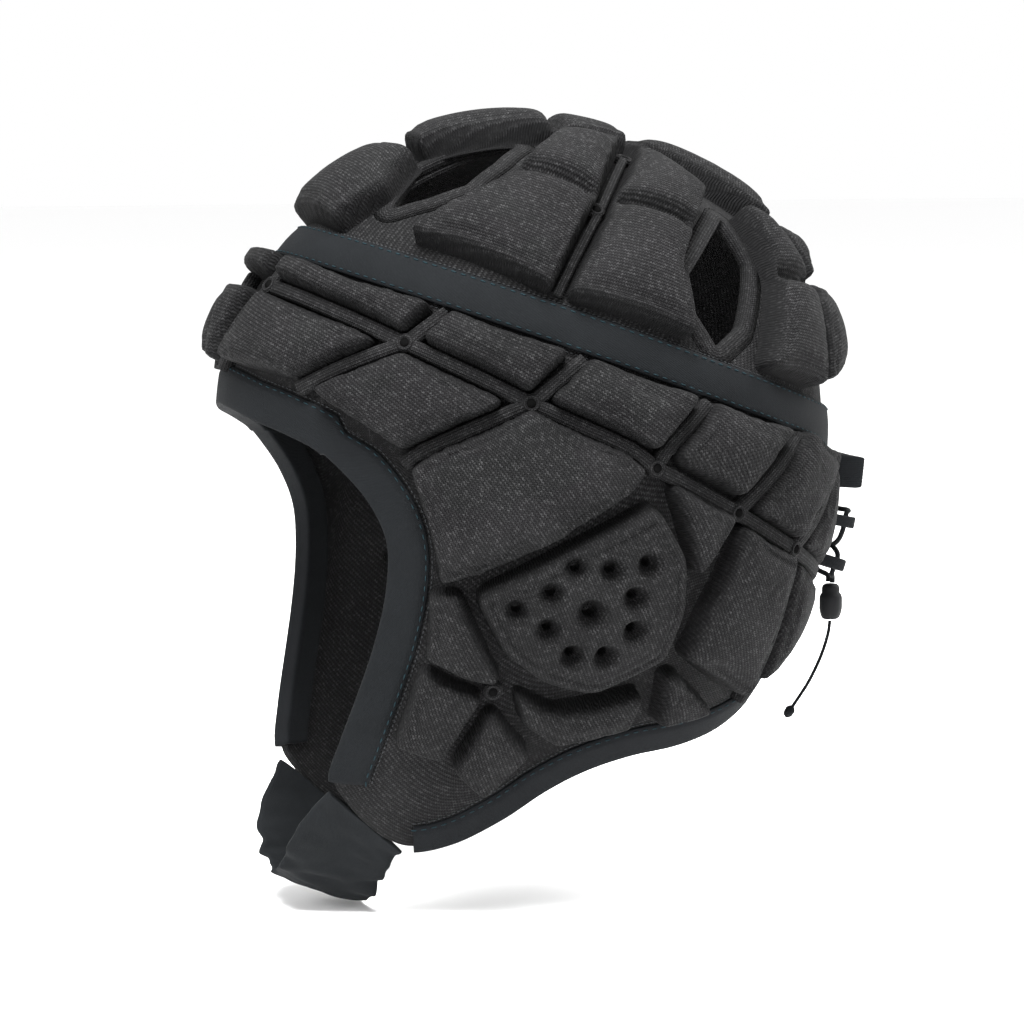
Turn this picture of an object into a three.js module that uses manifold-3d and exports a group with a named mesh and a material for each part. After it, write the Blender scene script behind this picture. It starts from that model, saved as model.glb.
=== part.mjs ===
// Padded rugby scrum cap: a knitted shell with foam pads, taped seam, bound edges,
// back lacing and a gathered chin strap.
// Millimetres. +Z is up, the wearer faces -Y and +X is the wearer's left.
// The origin is the inside top of the crown, where the cap sits on the head.

import * as THREE from 'three';
import Module from 'manifold-3d';

const wasm = await Module();
wasm.setup();

// Head form, measured at the outer cloth in the sewn channels, from a centre on the ears' axis
const HALF_WIDTH = 80;
const HALF_LENGTH = 102;
const CROWN_RISE = 98;
const JAW_DROP = 160;
const JAW_FORWARD = 36;
const JAW_TAPER = 0.2;
const EGG = 0.06;
const CROWN_TILT = 20.4;

// Cloth, foam and tape
const SHELL_WALL = 3;
const PAD_HEIGHT = 9.6;
const BACK_PAD_HEIGHT = 5.2;
const REAR_PAD_HEIGHT = 8;
const PAD_CROWN = 1.2;
const PAD_SHOULDER = 4.4;
const PAD_SIDE_LEAN = 0.9;
const PAD_CORNER = 5;
const CREASE_FLOOR = 4;
const CREASE_SPREAD = 0.45;
const CHANNEL_WIDTH = 6.5;
const NARROW_CHANNEL_WIDTH = 3.4;
const EAR_SEAM_WIDTH = 3.6;
const EAR_HOLE_RADIUS = 1.9;
const EAR_CENTRE_RADIUS = 3.1;
const TAPE_WIDTH = 13;
const TAPE_THICKNESS = 1.3;
const TAPE_CLEARANCE = 1.8;
const FACE_BINDING_WIDTH = 11.5;
const NAPE_BINDING_WIDTH = 8.5;
const BINDING_INSIDE_WIDTH = 8;
const BINDING_THICKNESS = 1.1;
const BINDING_LINING_GAP = 1.2;
const SEAT_GAP = 0.7;
const PAD_SEAT_GAP = 0.6;
const PAD_ARCH = 0.7;
const SEAM_GAP = 0.7;

// Chin strap
const STRAP_WIDTH = 33;
const STRAP_THICKNESS = 2.6;
const STRAP_RUFFLE = 1.3;
const STRAP_RUFFLES = 7;
const STRAP_SEAT_GAP = 0.5;
const CHIN_FORWARD = 73;
const CHIN_DROP = 152;
const CHIN_PITCH = 20;

// Back lacing, its heights counted up from the lacing's middle
const SLIT_TOP = 15;
const SLIT_TOP_WIDTH = 5;
const SLIT_SPREAD = 0.19;
const SLIT_BELOW = 54;
const LEG_BELOW = 31;
const SLIT_TAPE_WIDTH = 9;
const LACE_LOOP_RISE = 19;
const LACE_LOOP_WIDTH = 4;
const LACE_LOOP_SPAN = 9;
const LACE_LOOP_WALL = 1.4;
const RIB_COUNT = 4;
const RIB_LENGTH = 11;
const RIB_RISE = 19.5;
const RIB_SHARE = 2 / 3;
const BLOCK_WIDTH = 18;
const BLOCK_HEIGHT = 16.5;
const LACE_RADIUS = 1;
const LACE_CROSSING = 1.5;
const LACE_STAND = 2;
const LOCK_STAND = 4;
const TAIL_RADIUS = 0.6;
const TAIL_KNOT_RADIUS = 2.5;
const LOCK_RADIUS = 5;
const LOCK_HEIGHT = 13;
const CORD_CLEARANCE = 0.3;

// Swellings of the form: direction, spread in degrees, rise as a share of HALF_LENGTH
const SWELLS = [
  { name: 'upper back', x: 0, y: 0.87, z: 0.5, spread: 24, rise: 0.054 },
  { name: 'brow', x: 0, y: -0.94, z: 0.34, spread: 22, rise: 0.025 },
  { name: 'behind the ear', x: 0.45, y: 0.66, z: -0.6, spread: 26, rise: 0.098 },
  { name: 'crown', x: 0, y: 0.34, z: 0.94, spread: 20, rise: -0.02 },
];

// Degrees down from the crown's axis: the taped seam all round, and the lacing's middle
const TAPE_DOWN = 70;
const LACING_DOWN = 84;

// Hem from the brow to the nape, left side: degrees around and down, and where its column
// of the side panel starts at the tape
const HEM = [
  { around: 0, down: 103, column: 0 },
  { around: 9, down: 103.4, column: 8 },
  { around: 18, down: 104.2, column: 16 },
  { around: 27, down: 104.7, column: 23 },
  { around: 36, down: 105.6, column: 29 },
  { around: 44.5, down: 107, column: 35 },
  { around: 51.5, down: 109, column: 41 },
  { around: 57, down: 112.3, column: 46 },
  { around: 60, down: 117.5, column: 51 },
  { around: 62, down: 124, column: 56 },
  { around: 63.5, down: 131, column: 61 },
  { around: 64.8, down: 138.5, column: 66 },
  { around: 66.5, down: 145, column: 71, corner: 'front' },
  { around: 75, down: 147.3, column: 77 },
  { around: 85, down: 148.6, column: 83 },
  { around: 96, down: 148.8, column: 89 },
  { around: 105, down: 147, column: 95, corner: 'back' },
  { around: 112.5, down: 141.5, column: 101 },
  { around: 117, down: 134, column: 107 },
  { around: 119.5, down: 127, column: 113 },
  { around: 123.5, down: 121.5, column: 119 },
  { around: 130, down: 116.5, column: 125 },
  { around: 138, down: 112.5, column: 131 },
  { around: 146, down: 108.5, column: 138 },
  { around: 154, down: 104.5, column: 146 },
  { around: 162, down: 101.5, column: 155 },
  { around: 170, down: 99.8, column: 166, corner: 'slit' },
  { around: 180, down: 99, column: 180 },
];

// Rows of the side panel, as shares of the way from the tape to the hem
const SIDE_ROWS = [0, 0.22, 0.42, 0.62, 0.82, 1];

// Rings of a pad's section: inset as a share of PAD_SHOULDER, height as a share of PAD_HEIGHT
const PAD_SECTION = [
  { inset: 0, rise: 0 },
  { inset: 0.2, rise: 0.62 },
  { inset: 1, rise: 1 },
];

// Pads that reach farther from their middle than these get more rings
const SMALL_PAD_REACH = 16;
const MEDIUM_PAD_REACH = 21;
const LARGE_PAD_REACH = 31;

// Heights of the lace loops beside the slit
const LOOP_ROWS = [9.5, -4];

const KNIT = { color: 0x1c1d1f, roughness: 0.85, metalness: 0 };
const TAPE = { color: 0x16191c, roughness: 0.8, metalness: 0 };
const PLASTIC = { color: 0x101112, roughness: 0.45, metalness: 0 };

const DEGREE = Math.PI / 180;
const CROWN = new THREE.Vector3(0, Math.sin(CROWN_TILT * DEGREE), Math.cos(CROWN_TILT * DEGREE));
const BACK = new THREE.Vector3(0, Math.cos(CROWN_TILT * DEGREE), -Math.sin(CROWN_TILT * DEGREE));
const EAR = new THREE.Vector3(1, 0, 0);

// A direction from the centre: degrees around from the brow and down from the crown's axis
function at(around, down) {
  const a = around * DEGREE;
  const d = down * DEGREE;
  return new THREE.Vector3()
    .addScaledVector(BACK, -Math.cos(a) * Math.sin(d))
    .addScaledVector(EAR, Math.sin(a) * Math.sin(d))
    .addScaledVector(CROWN, Math.cos(d));
}

// A direction near the midline: degrees to the side and behind the crown's axis
function overTop(side, behind) {
  const s = side * DEGREE;
  const b = behind * DEGREE;
  return new THREE.Vector3()
    .addScaledVector(BACK, Math.cos(s) * Math.sin(b))
    .addScaledVector(EAR, Math.sin(s))
    .addScaledVector(CROWN, Math.cos(s) * Math.cos(b));
}

const same = (v) => v.clone();
const mirrored = (v) => new THREE.Vector3(-v.x, v.y, v.z);

// Point of the cloth in a direction from the centre
function form(n) {
  const low = THREE.MathUtils.smoothstep(-n.z, 0, 1);
  const point = new THREE.Vector3(
    HALF_WIDTH * n.x * (1 + EGG * n.y) * (1 - JAW_TAPER * low),
    HALF_LENGTH * n.y - JAW_FORWARD * low ** 1.4,
    (n.z < 0 ? JAW_DROP : CROWN_RISE) * n.z,
  );
  for (const swell of SWELLS) {
    const axis = new THREE.Vector3(swell.x, swell.y, swell.z).normalize();
    const across = Math.abs(n.x) * axis.x + n.y * axis.y + n.z * axis.z;
    const angle = Math.acos(THREE.MathUtils.clamp(across, -1, 1)) / DEGREE;
    point.addScaledVector(n, swell.rise * HALF_LENGTH * Math.exp(-((angle / swell.spread) ** 2)));
  }
  return point;
}

// Two directions square to n, and how far the cloth's point moves along each
function tangents(n) {
  const step = 1e-3;
  const first = new THREE.Vector3().crossVectors(n, Math.abs(n.z) < 0.9 ? CROWN : EAR).normalize();
  const second = new THREE.Vector3().crossVectors(first, n);
  const slope = (t) => form(n.clone().addScaledVector(t, step).normalize())
    .sub(form(n.clone().addScaledVector(t, -step).normalize()))
    .divideScalar(2 * step);
  return { first, second, along: slope(first), across: slope(second) };
}

function outward(n) {
  const { along, across } = tangents(n);
  const normal = new THREE.Vector3().crossVectors(along, across).normalize();
  return normal.dot(form(n)) < 0 ? normal.negate() : normal;
}

const surface = (n, height) => form(n).addScaledVector(outward(n), height);

// Flat map of the cloth around a direction, in millimetres
function flatMap(centre) {
  const { first, second, along, across } = tangents(centre);
  const x = along.clone().normalize();
  const skew = across.dot(x);
  const depth = across.clone().addScaledVector(x, -skew).length();
  const width = along.length();
  return {
    flatten(n) {
      const s = n.dot(first) / n.dot(centre);
      const t = n.dot(second) / n.dot(centre);
      return new THREE.Vector2(width * s + skew * t, depth * t);
    },
    lift(p) {
      const t = p.y / depth;
      const s = (p.x - skew * t) / width;
      return centre.clone().addScaledVector(first, s).addScaledVector(second, t).normalize();
    },
  };
}

// Moves a direction along the cloth by a vector in millimetres
function slide(n, move) {
  const map = flatMap(n);
  const { along, across } = tangents(n);
  const x = along.clone().normalize();
  const y = across.clone().addScaledVector(x, -across.dot(x)).normalize();
  return map.lift(new THREE.Vector2(move.dot(x), move.dot(y)));
}

function meshFrom(points, triangles) {
  let volume = 0;
  for (const [a, b, c] of triangles) {
    volume += points[a].dot(new THREE.Vector3().crossVectors(points[b], points[c]));
  }
  const faces = volume < 0 ? triangles.map(([a, b, c]) => [a, c, b]) : triangles;
  const geometry = new THREE.BufferGeometry();
  const numbers = points.flatMap((p) => [p.x, p.y, p.z]);
  geometry.setAttribute('position', new THREE.Float32BufferAttribute(numbers, 3));
  geometry.setIndex(faces.flat());
  return geometry;
}

function toSolid(geometry) {
  const vertProperties = new Float32Array(geometry.getAttribute('position').array);
  const triVerts = new Uint32Array(geometry.getIndex().array);
  return new wasm.Manifold(new wasm.Mesh({ numProp: 3, vertProperties, triVerts }));
}

function fromSolid(solid) {
  const mesh = solid.getMesh();
  const geometry = new THREE.BufferGeometry();
  geometry.setAttribute('position', new THREE.BufferAttribute(new Float32Array(mesh.vertProperties), 3));
  geometry.setIndex(new THREE.BufferAttribute(new Uint32Array(mesh.triVerts), 1));
  return geometry;
}

// Closed body through rings of equal length, its ends closed by fans, or joined when looped
function throughRings(rings, looped = false) {
  const count = rings[0].length;
  const points = rings.flat();
  const triangles = [];
  const spans = looped ? rings.length : rings.length - 1;
  for (let r = 0; r < spans; r += 1) {
    const low = r * count;
    const high = ((r + 1) % rings.length) * count;
    for (let i = 0; i < count; i += 1) {
      const j = (i + 1) % count;
      triangles.push([low + i, low + j, high + j], [low + i, high + j, high + i]);
    }
  }
  if (!looped) {
    for (let i = 1; i < count - 1; i += 1) {
      const top = (rings.length - 1) * count;
      triangles.push([0, i + 1, i], [top, top + i, top + i + 1]);
    }
  }
  return meshFrom(points, triangles);
}

// Closed body through rings, each end closed to a point
function betweenPoles(first, rings, last) {
  const count = rings[0].length;
  const points = [first, ...rings.flat(), last];
  const triangles = [];
  for (let i = 0; i < count; i += 1) {
    const j = (i + 1) % count;
    triangles.push([0, 1 + j, 1 + i]);
    for (let r = 0; r < rings.length - 1; r += 1) {
      const low = 1 + r * count;
      const high = low + count;
      triangles.push([low + i, low + j, high + j], [low + i, high + j, high + i]);
    }
    const top = 1 + (rings.length - 1) * count;
    triangles.push([top + i, top + j, points.length - 1]);
  }
  return meshFrom(points, triangles);
}

// Outline in the flat map: moved inwards, corners rounded, long edges divided
function roundedOutline(corners, inset, radius) {
  const longest = 21;
  const sharpest = 0.6;
  const turn = THREE.ShapeUtils.area(corners) < 0 ? corners.slice().reverse() : corners;
  const count = turn.length;
  const lines = turn.map((p, i) => {
    const along = turn[(i + 1) % count].clone().sub(p).normalize();
    const inward = new THREE.Vector2(-along.y, along.x);
    return { start: p.clone().addScaledVector(inward, inset), along };
  });
  const meets = lines.map((line, i) => {
    const before = lines[(i + count - 1) % count];
    const cross = before.along.cross(line.along);
    const reach = line.start.clone().sub(before.start).cross(line.along) / cross;
    return before.start.clone().addScaledVector(before.along, reach);
  });
  const outline = [];
  meets.forEach((corner, i) => {
    const before = meets[(i + count - 1) % count];
    const after = meets[(i + 1) % count];
    const room = 0.42 * Math.min(corner.distanceTo(before), corner.distanceTo(after));
    const arriving = lines[(i + count - 1) % count].along;
    const bend = Math.acos(THREE.MathUtils.clamp(arriving.dot(lines[i].along), -1, 1));
    if (bend < sharpest) {
      outline.push(corner.clone());
      return;
    }
    const cut = Math.min(room, radius * Math.tan(bend / 2));
    const from = corner.clone().lerp(before, cut / corner.distanceTo(before));
    const to = corner.clone().lerp(after, cut / corner.distanceTo(after));
    const middle = from.clone().add(to).multiplyScalar(0.5).lerp(corner, 0.42);
    outline.push(from, middle, to);
  });
  const divided = [];
  outline.forEach((p, i) => {
    const next = outline[(i + 1) % outline.length];
    const parts = Math.ceil(p.distanceTo(next) / longest);
    for (let k = 0; k < parts; k += 1) {
      divided.push(p.clone().lerp(next, k / parts));
    }
  });
  return divided;
}

// Foam pad over an outline of directions, arched over the cloth below it
function padBody(corners, inset, domed, padHeight = PAD_HEIGHT) {
  const middle = corners.reduce((sum, n) => sum.add(n), new THREE.Vector3()).normalize();
  const map = flatMap(middle);
  const outline = roundedOutline(corners.map(map.flatten), inset, PAD_CORNER);
  const heart = outline.reduce((sum, p) => sum.add(p), new THREE.Vector2()).divideScalar(outline.length);
  const reach = Math.max(...outline.map((p) => p.distanceTo(heart)));
  const ring = (inwards, height) => outline.map((p) => {
    const share = Math.min(inwards / p.distanceTo(heart), 0.7);
    return surface(map.lift(p.clone().lerp(heart, share)), PAD_SEAT_GAP + height);
  });
  const shrunk = (share, height) => outline.map(
    (p) => surface(map.lift(p.clone().lerp(heart, share)), PAD_SEAT_GAP + height),
  );
  const rings = reach > MEDIUM_PAD_REACH ? [shrunk(0.38, PAD_ARCH)] : [];
  const section = reach > SMALL_PAD_REACH ? PAD_SECTION : [PAD_SECTION[0], PAD_SECTION[2]];
  for (const row of section) {
    const inwards = row.rise > 0 && row.rise < 1 ? PAD_SIDE_LEAN : row.inset * PAD_SHOULDER;
    rings.push(ring(inwards, row.rise * padHeight));
  }
  if (domed && reach > LARGE_PAD_REACH) {
    rings.push(shrunk(0.6, padHeight + 0.8 * PAD_CROWN));
  }
  const centre = map.lift(heart);
  const top = PAD_SEAT_GAP + padHeight + PAD_CROWN;
  return betweenPoles(surface(centre, PAD_SEAT_GAP + PAD_ARCH), rings, surface(centre, top));
}

// Wedge that presses a crease into the top of a pad, from one direction to another
function creaseCutter(from, to) {
  const top = PAD_HEIGHT * 2;
  const spread = (top - CREASE_FLOOR) * CREASE_SPREAD;
  const rings = [0, 0.33, 0.67, 1].map((share) => {
    const n = from.clone().lerp(to, share).normalize();
    const across = new THREE.Vector3().crossVectors(form(to).sub(form(from)), outward(n)).normalize();
    return [
      surface(n, CREASE_FLOOR),
      surface(n, top).addScaledVector(across, spread),
      surface(n, top).addScaledVector(across, -spread),
    ];
  });
  return toSolid(throughRings(rings));
}

function padOf(corners, channel, crease, height) {
  const body = padBody(corners, channel / 2, !crease, height);
  return crease ? fromSolid(toSolid(body).subtract(creaseCutter(...crease))) : body;
}

// Straight-sided cutter over an outline of directions, through every layer of the cap
function cutterOver(directions) {
  const inner = -SHELL_WALL * 3;
  const outer = PAD_HEIGHT * 2;
  const middle = directions.reduce((sum, n) => sum.add(n), new THREE.Vector3()).normalize();
  const ring = (height) => directions.map((n) => surface(n, height));
  return toSolid(betweenPoles(surface(middle, inner), [ring(inner), ring(outer)], surface(middle, outer)));
}

// Round cutter at a direction
function boreAt(n, radius, sides) {
  const { along } = tangents(n);
  const axis = outward(n);
  const x = along.clone().normalize();
  const y = new THREE.Vector3().crossVectors(axis, x);
  const ring = (height) => Array.from({ length: sides }, (_, i) => {
    const turn = (i / sides) * 2 * Math.PI;
    return surface(n, height)
      .addScaledVector(x, radius * Math.cos(turn))
      .addScaledVector(y, radius * Math.sin(turn));
  });
  return toSolid(throughRings([ring(-SHELL_WALL * 3), ring(PAD_HEIGHT * 2)]));
}

// Sound holes through one ear pad
function earBores(side) {
  const bores = EAR_HOLES.map((n) => boreAt(side(n), EAR_HOLE_RADIUS, 5));
  return [...bores, boreAt(side(EAR_CENTRE), EAR_CENTRE_RADIUS, 8)];
}

function cutAll(solid, cutters) {
  return cutters.reduce((whole, cutter) => whole.subtract(cutter), solid);
}

// Moves a direction down the head along the cloth, in millimetres
function downwards(n, distance) {
  const map = flatMap(n);
  const lower = map.flatten(n.clone().addScaledVector(CROWN, -0.01).normalize());
  return map.lift(lower.setLength(Math.abs(distance)).multiplyScalar(Math.sign(distance) || 1));
}

// A direction below the taped seam, or above it where the distance is negative
const besideTape = (around, distance) => downwards(at(around, TAPE_DOWN), distance);

// Pads start clear of the tape by this much, counted to the middle of their channel
const BELOW_TAPE = TAPE_WIDTH / 2 + TAPE_CLEARANCE - CHANNEL_WIDTH / 2;

// Three corners of a pad along the lower edge of the tape
const underTape = (from, to) => [from, (from + to) / 2, to].map((around) => besideTape(around, BELOW_TAPE));

// Degrees around where the channels between the upper pads reach the tape
const AT_TAPE = [11.5, 54.5, 81.5, 107.5, 134.5, 158, 168.5];

// Corners where the sewn channels meet
const SEAM = {
  brow: at(10.4, 80.5),
  temple: at(49.5, 82.9),
  side: at(75.1, 86),
  ear: at(100.1, 88.4),
  rear: at(119, 87.8),
  corner: at(137.6, 87.6),
  back: at(168.5, 88),
  hem0: at(1.5, 97.2),
  hem1: at(30.5, 96.7),
  hem2: at(56.6, 103),
  cheek: at(90.3, 120.8),
  ridge: at(74.5, 42),
};

// Pads of the left side, mirrored to the right: the corners of each, the channel round it
// where that is narrow, and the ends of its crease
const SIDE_PADS = {
  pad_brow_side: { corners: [...underTape(AT_TAPE[0], AT_TAPE[1]), SEAM.temple, SEAM.brow] },
  pad_temple_upper: { corners: [...underTape(AT_TAPE[1], AT_TAPE[2]), SEAM.side, SEAM.temple] },
  pad_side_upper: { corners: [...underTape(AT_TAPE[2], AT_TAPE[3]), SEAM.ear, SEAM.side] },
  pad_rear_side_upper: { corners: [...underTape(AT_TAPE[3], AT_TAPE[4]), SEAM.rear, SEAM.ear] },
  pad_rear_upper: {
    corners: [...underTape(AT_TAPE[4], AT_TAPE[5]), SEAM.corner, SEAM.rear],
    height: REAR_PAD_HEIGHT,
  },
  pad_back_upper: {
    corners: [...underTape(AT_TAPE[5], AT_TAPE[6]), SEAM.back, SEAM.corner],
    height: BACK_PAD_HEIGHT,
  },
  pad_brow_lower: { corners: [SEAM.brow, SEAM.temple, SEAM.hem1, SEAM.hem0] },
  pad_temple_lower: { corners: [SEAM.temple, SEAM.side, SEAM.hem2, SEAM.hem1] },
  pad_side_lower: {
    corners: [SEAM.side, SEAM.ear, at(97.5, 93), at(87.5, 103), at(78, 110), at(69, 114.8), SEAM.hem2],
  },
  pad_ear_wedge: {
    corners: [SEAM.ear, SEAM.rear, at(115.2, 98.4)],
    channel: NARROW_CHANNEL_WIDTH,
  },
  pad_rear_side_lower: {
    corners: [SEAM.rear, SEAM.corner, at(144.6, 104.9), at(120, 105.6), at(118.5, 99)],
  },
  pad_back_lower: {
    corners: [SEAM.corner, SEAM.back, at(166.5, 97), at(158, 98.8), at(147.5, 103.4)],
    height: BACK_PAD_HEIGHT,
  },
  pad_cheek: {
    corners: [
      at(66.6, 114.9), at(73.5, 112.4), at(80, 115.2), at(86, 117.2), at(91, 118.4), at(89.8, 120.4),
      at(83.6, 121.8), at(72.5, 122.6),
    ],
    channel: NARROW_CHANNEL_WIDTH,
  },
  pad_jaw_front: {
    corners: [at(71.8, 122.8), at(84, 121.9), at(90, 121.2), at(92.2, 131.8), at(76.4, 134.4)],
    channel: NARROW_CHANNEL_WIDTH,
  },
  pad_jaw_rear: {
    corners: [at(90.6, 121.4), at(100, 122.8), at(108.5, 123.4), at(107.6, 133), at(92.8, 132.2)],
    channel: NARROW_CHANNEL_WIDTH,
  },
  pad_under_ear: {
    corners: [
      at(90.8, 118.6), at(104, 117.6), at(119.4, 109), at(123, 114.4), at(111, 121.8), at(100, 122.2),
    ],
    channel: NARROW_CHANNEL_WIDTH,
  },
  pad_behind_ear: {
    corners: [at(119.2, 107.4), at(122.6, 105.9), at(139.4, 106.4), at(127.4, 113.2)],
    channel: NARROW_CHANNEL_WIDTH,
  },
  pad_crown_side_front: {
    corners: [at(34.5, 60.8), at(44.5, 43), at(33, 23), at(76.5, 13.5), SEAM.ridge, at(72.5, 64)],
    crease: [at(40, 42), at(80, 42)],
  },
  pad_crown_side_rear: {
    corners: [at(77.5, 13.5), at(117, 27.5), at(102.7, 41), at(99.5, 50.5), at(103, 63.5),
      at(72.5, 64.5), SEAM.ridge],
    crease: [at(68, 42.5), at(110, 41)],
  },
  pad_crown_corner: {
    corners: [at(131, 25.5), at(151, 28.5), at(152.5, 45.5), at(143, 64.5), at(118, 65), at(127.5, 44.5)],
    crease: [at(122, 44.5), at(156, 45.5)],
  },
};

// Pads on the midline: the left half of each outline, and the left end of its crease
const MIDLINE_PADS = {
  pad_brow_centre_upper: { half: [besideTape(AT_TAPE[0], BELOW_TAPE), SEAM.brow] },
  pad_brow_centre_lower: { half: [SEAM.brow, overTop(3.5, -97.8)] },
  pad_crown_front: { half: [overTop(11.5, -42.5), overTop(20.5, -53), overTop(18, -61.5)] },
  pad_crown_ridge_front: {
    half: [overTop(8.5, -43), overTop(11.8, -16), overTop(10.5, -0.5)],
    crease: overTop(15, -16),
  },
  pad_crown_ridge_rear: { half: [overTop(10.5, -0.5), overTop(13, 30)] },
  pad_crown_back_upper: { half: [overTop(13, 30), overTop(19.6, 42)] },
  pad_crown_back_lower: { half: [overTop(19.6, 42), overTop(33.4, 58.6)] },
};

// Ear pad outline and its sound holes, the larger one in the middle
const EAR_OUTLINE = [
  at(74.5, 112.5), at(88, 101.6), at(101, 91.2), at(111.5, 95), at(116.5, 100),
  at(119, 106), at(109.5, 114.6), at(98, 117), at(86.5, 116.8),
];
const EAR_HOLES = [
  at(91.4, 103.3), at(97.5, 101.3), at(103.5, 98.5), at(89.2, 107.2), at(103.9, 102.4),
  at(84.7, 111), at(91.8, 110.8), at(107.4, 105.5), at(99, 111.7), at(105.1, 109.6),
];
const EAR_CENTRE = at(97.8, 106.5);

// Opening in the side panel behind the ear pad's holes
const EAR_WINDOW = [
  at(81.5, 112.8), at(89, 103.8), at(97, 98.2), at(105, 95.2), at(111.5, 105.5), at(105.5, 113),
  at(93, 114.3),
];

// Vents of the left side, cut through the crown
const VENTS = [
  [at(25, 57.5), at(14, 46), at(12, 36), at(16, 25), at(26, 27), at(35, 37), at(37, 46), at(32, 52)],
  [at(127, 28.5), at(112, 37), at(101, 49.5), at(103, 58), at(109, 63.5), at(116, 57), at(127, 40)],
];

function crownShell() {
  const columns = 28;
  const steps = 5;
  const ring = (share, height) => Array.from({ length: columns }, (_, i) => {
    const around = (i / columns) * 360;
    const hem = besideTape(around, -SEAM_GAP / 2);
    return surface(CROWN.clone().lerp(hem, share).normalize(), height);
  });
  const shares = Array.from({ length: steps }, (_, i) => (i + 1) / steps);
  const rings = [
    ...shares.map((share) => ring(share, 0)),
    ...shares.reverse().map((share) => ring(share, -SHELL_WALL)),
  ];
  const body = toSolid(betweenPoles(surface(CROWN, 0), rings, surface(CROWN, -SHELL_WALL)));
  const vents = VENTS.flatMap((outline) => [cutterOver(outline), cutterOver(outline.map(mirrored))]);
  return fromSolid(cutAll(body, vents));
}

// Hem rows right round the head, from the right of the slit over the brow to the left of it
function hemRound() {
  const left = HEM.map((row) => ({ ...row, side: 1 }));
  const right = HEM.slice(1, -1).reverse().map((row) => ({ ...row, side: -1 }));
  return [...left, ...right];
}

const hemPoint = (row) => at(row.side * row.around, row.down);

function sideShell() {
  const columns = hemRound().map((row) => {
    const top = besideTape(row.side * row.column, SEAM_GAP / 2);
    const hem = hemPoint(row);
    const angle = top.angleTo(hem);
    const place = (share) => top.clone().multiplyScalar(Math.sin((1 - share) * angle))
      .addScaledVector(hem, Math.sin(share * angle)).normalize();
    const shares = SIDE_ROWS.slice();
    return [
      ...shares.map((share) => surface(place(share), 0)),
      ...shares.reverse().map((share) => surface(place(share), -SHELL_WALL)),
    ];
  });
  const body = toSolid(throughRings(columns, true));
  const windows = [same, mirrored].map((side) => cutterOver(EAR_WINDOW.map(side)));
  return fromSolid(cutAll(body, [slitCutter(), ...windows]));
}

// A direction on the back: millimetres to the left, and up from the lacing's middle
function onBack(left, up) {
  return flatMap(at(180, LACING_DOWN)).lift(new THREE.Vector2(left, up));
}

const slitHalf = (up) => SLIT_TOP_WIDTH / 2 + (SLIT_TOP - up) * SLIT_SPREAD / 2;

function slitCutter() {
  return cutterOver([
    onBack(-slitHalf(SLIT_TOP), SLIT_TOP),
    onBack(slitHalf(SLIT_TOP), SLIT_TOP),
    onBack(slitHalf(-SLIT_BELOW), -SLIT_BELOW),
    onBack(-slitHalf(-SLIT_BELOW), -SLIT_BELOW),
  ]);
}

// Tape sewn over the seam between crown and sides
function tapeBand() {
  const columns = 32;
  const rings = Array.from({ length: columns }, (_, i) => {
    const around = (i / columns) * 360;
    const upper = besideTape(around, -TAPE_WIDTH / 2);
    const lower = besideTape(around, TAPE_WIDTH / 2);
    return [
      surface(upper, SEAT_GAP),
      surface(lower, SEAT_GAP),
      surface(lower, SEAT_GAP + TAPE_THICKNESS),
      surface(upper, SEAT_GAP + TAPE_THICKNESS),
    ];
  });
  return throughRings(rings, true);
}

// Folded tape clasping a stretch of the hem
function binding(rows, outsideWidth) {
  const out = SEAT_GAP;
  const far = SEAT_GAP + BINDING_THICKNESS;
  const inside = -SHELL_WALL - BINDING_LINING_GAP;
  const section = [
    { reach: outsideWidth, height: out },
    { reach: outsideWidth, height: far },
    { reach: -far, height: far },
    { reach: -far, height: inside - BINDING_THICKNESS },
    { reach: BINDING_INSIDE_WIDTH, height: inside - BINDING_THICKNESS },
    { reach: BINDING_INSIDE_WIDTH, height: inside },
    { reach: -out, height: inside },
    { reach: -out, height: out },
  ];
  const rings = rows.map((row, i) => {
    const n = hemPoint(row);
    const before = form(hemPoint(rows[Math.max(i - 1, 0)]));
    const after = form(hemPoint(rows[Math.min(i + 1, rows.length - 1)]));
    const inward = new THREE.Vector3().crossVectors(after.sub(before), outward(n)).normalize();
    if (inward.dot(form(at(row.side * row.column, TAPE_DOWN)).sub(form(n))) < 0) {
      inward.negate();
    }
    return section.map(({ reach, height }) => {
      const place = slide(n, inward.clone().multiplyScalar(reach));
      return surface(place, height);
    });
  });
  return throughRings(rings);
}

const hemIndex = (corner) => HEM.findIndex((row) => row.corner === corner);

function faceBinding() {
  const half = HEM.slice(0, hemIndex('front') + 1);
  const left = half.map((row) => ({ ...row, side: 1 }));
  const right = half.slice(1).reverse().map((row) => ({ ...row, side: -1 }));
  return binding([...right, ...left], FACE_BINDING_WIDTH);
}

function napeBinding(side) {
  const rows = HEM.slice(hemIndex('back'), hemIndex('slit') + 1).map((row) => ({ ...row, side }));
  return binding(rows, NAPE_BINDING_WIDTH);
}

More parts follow.
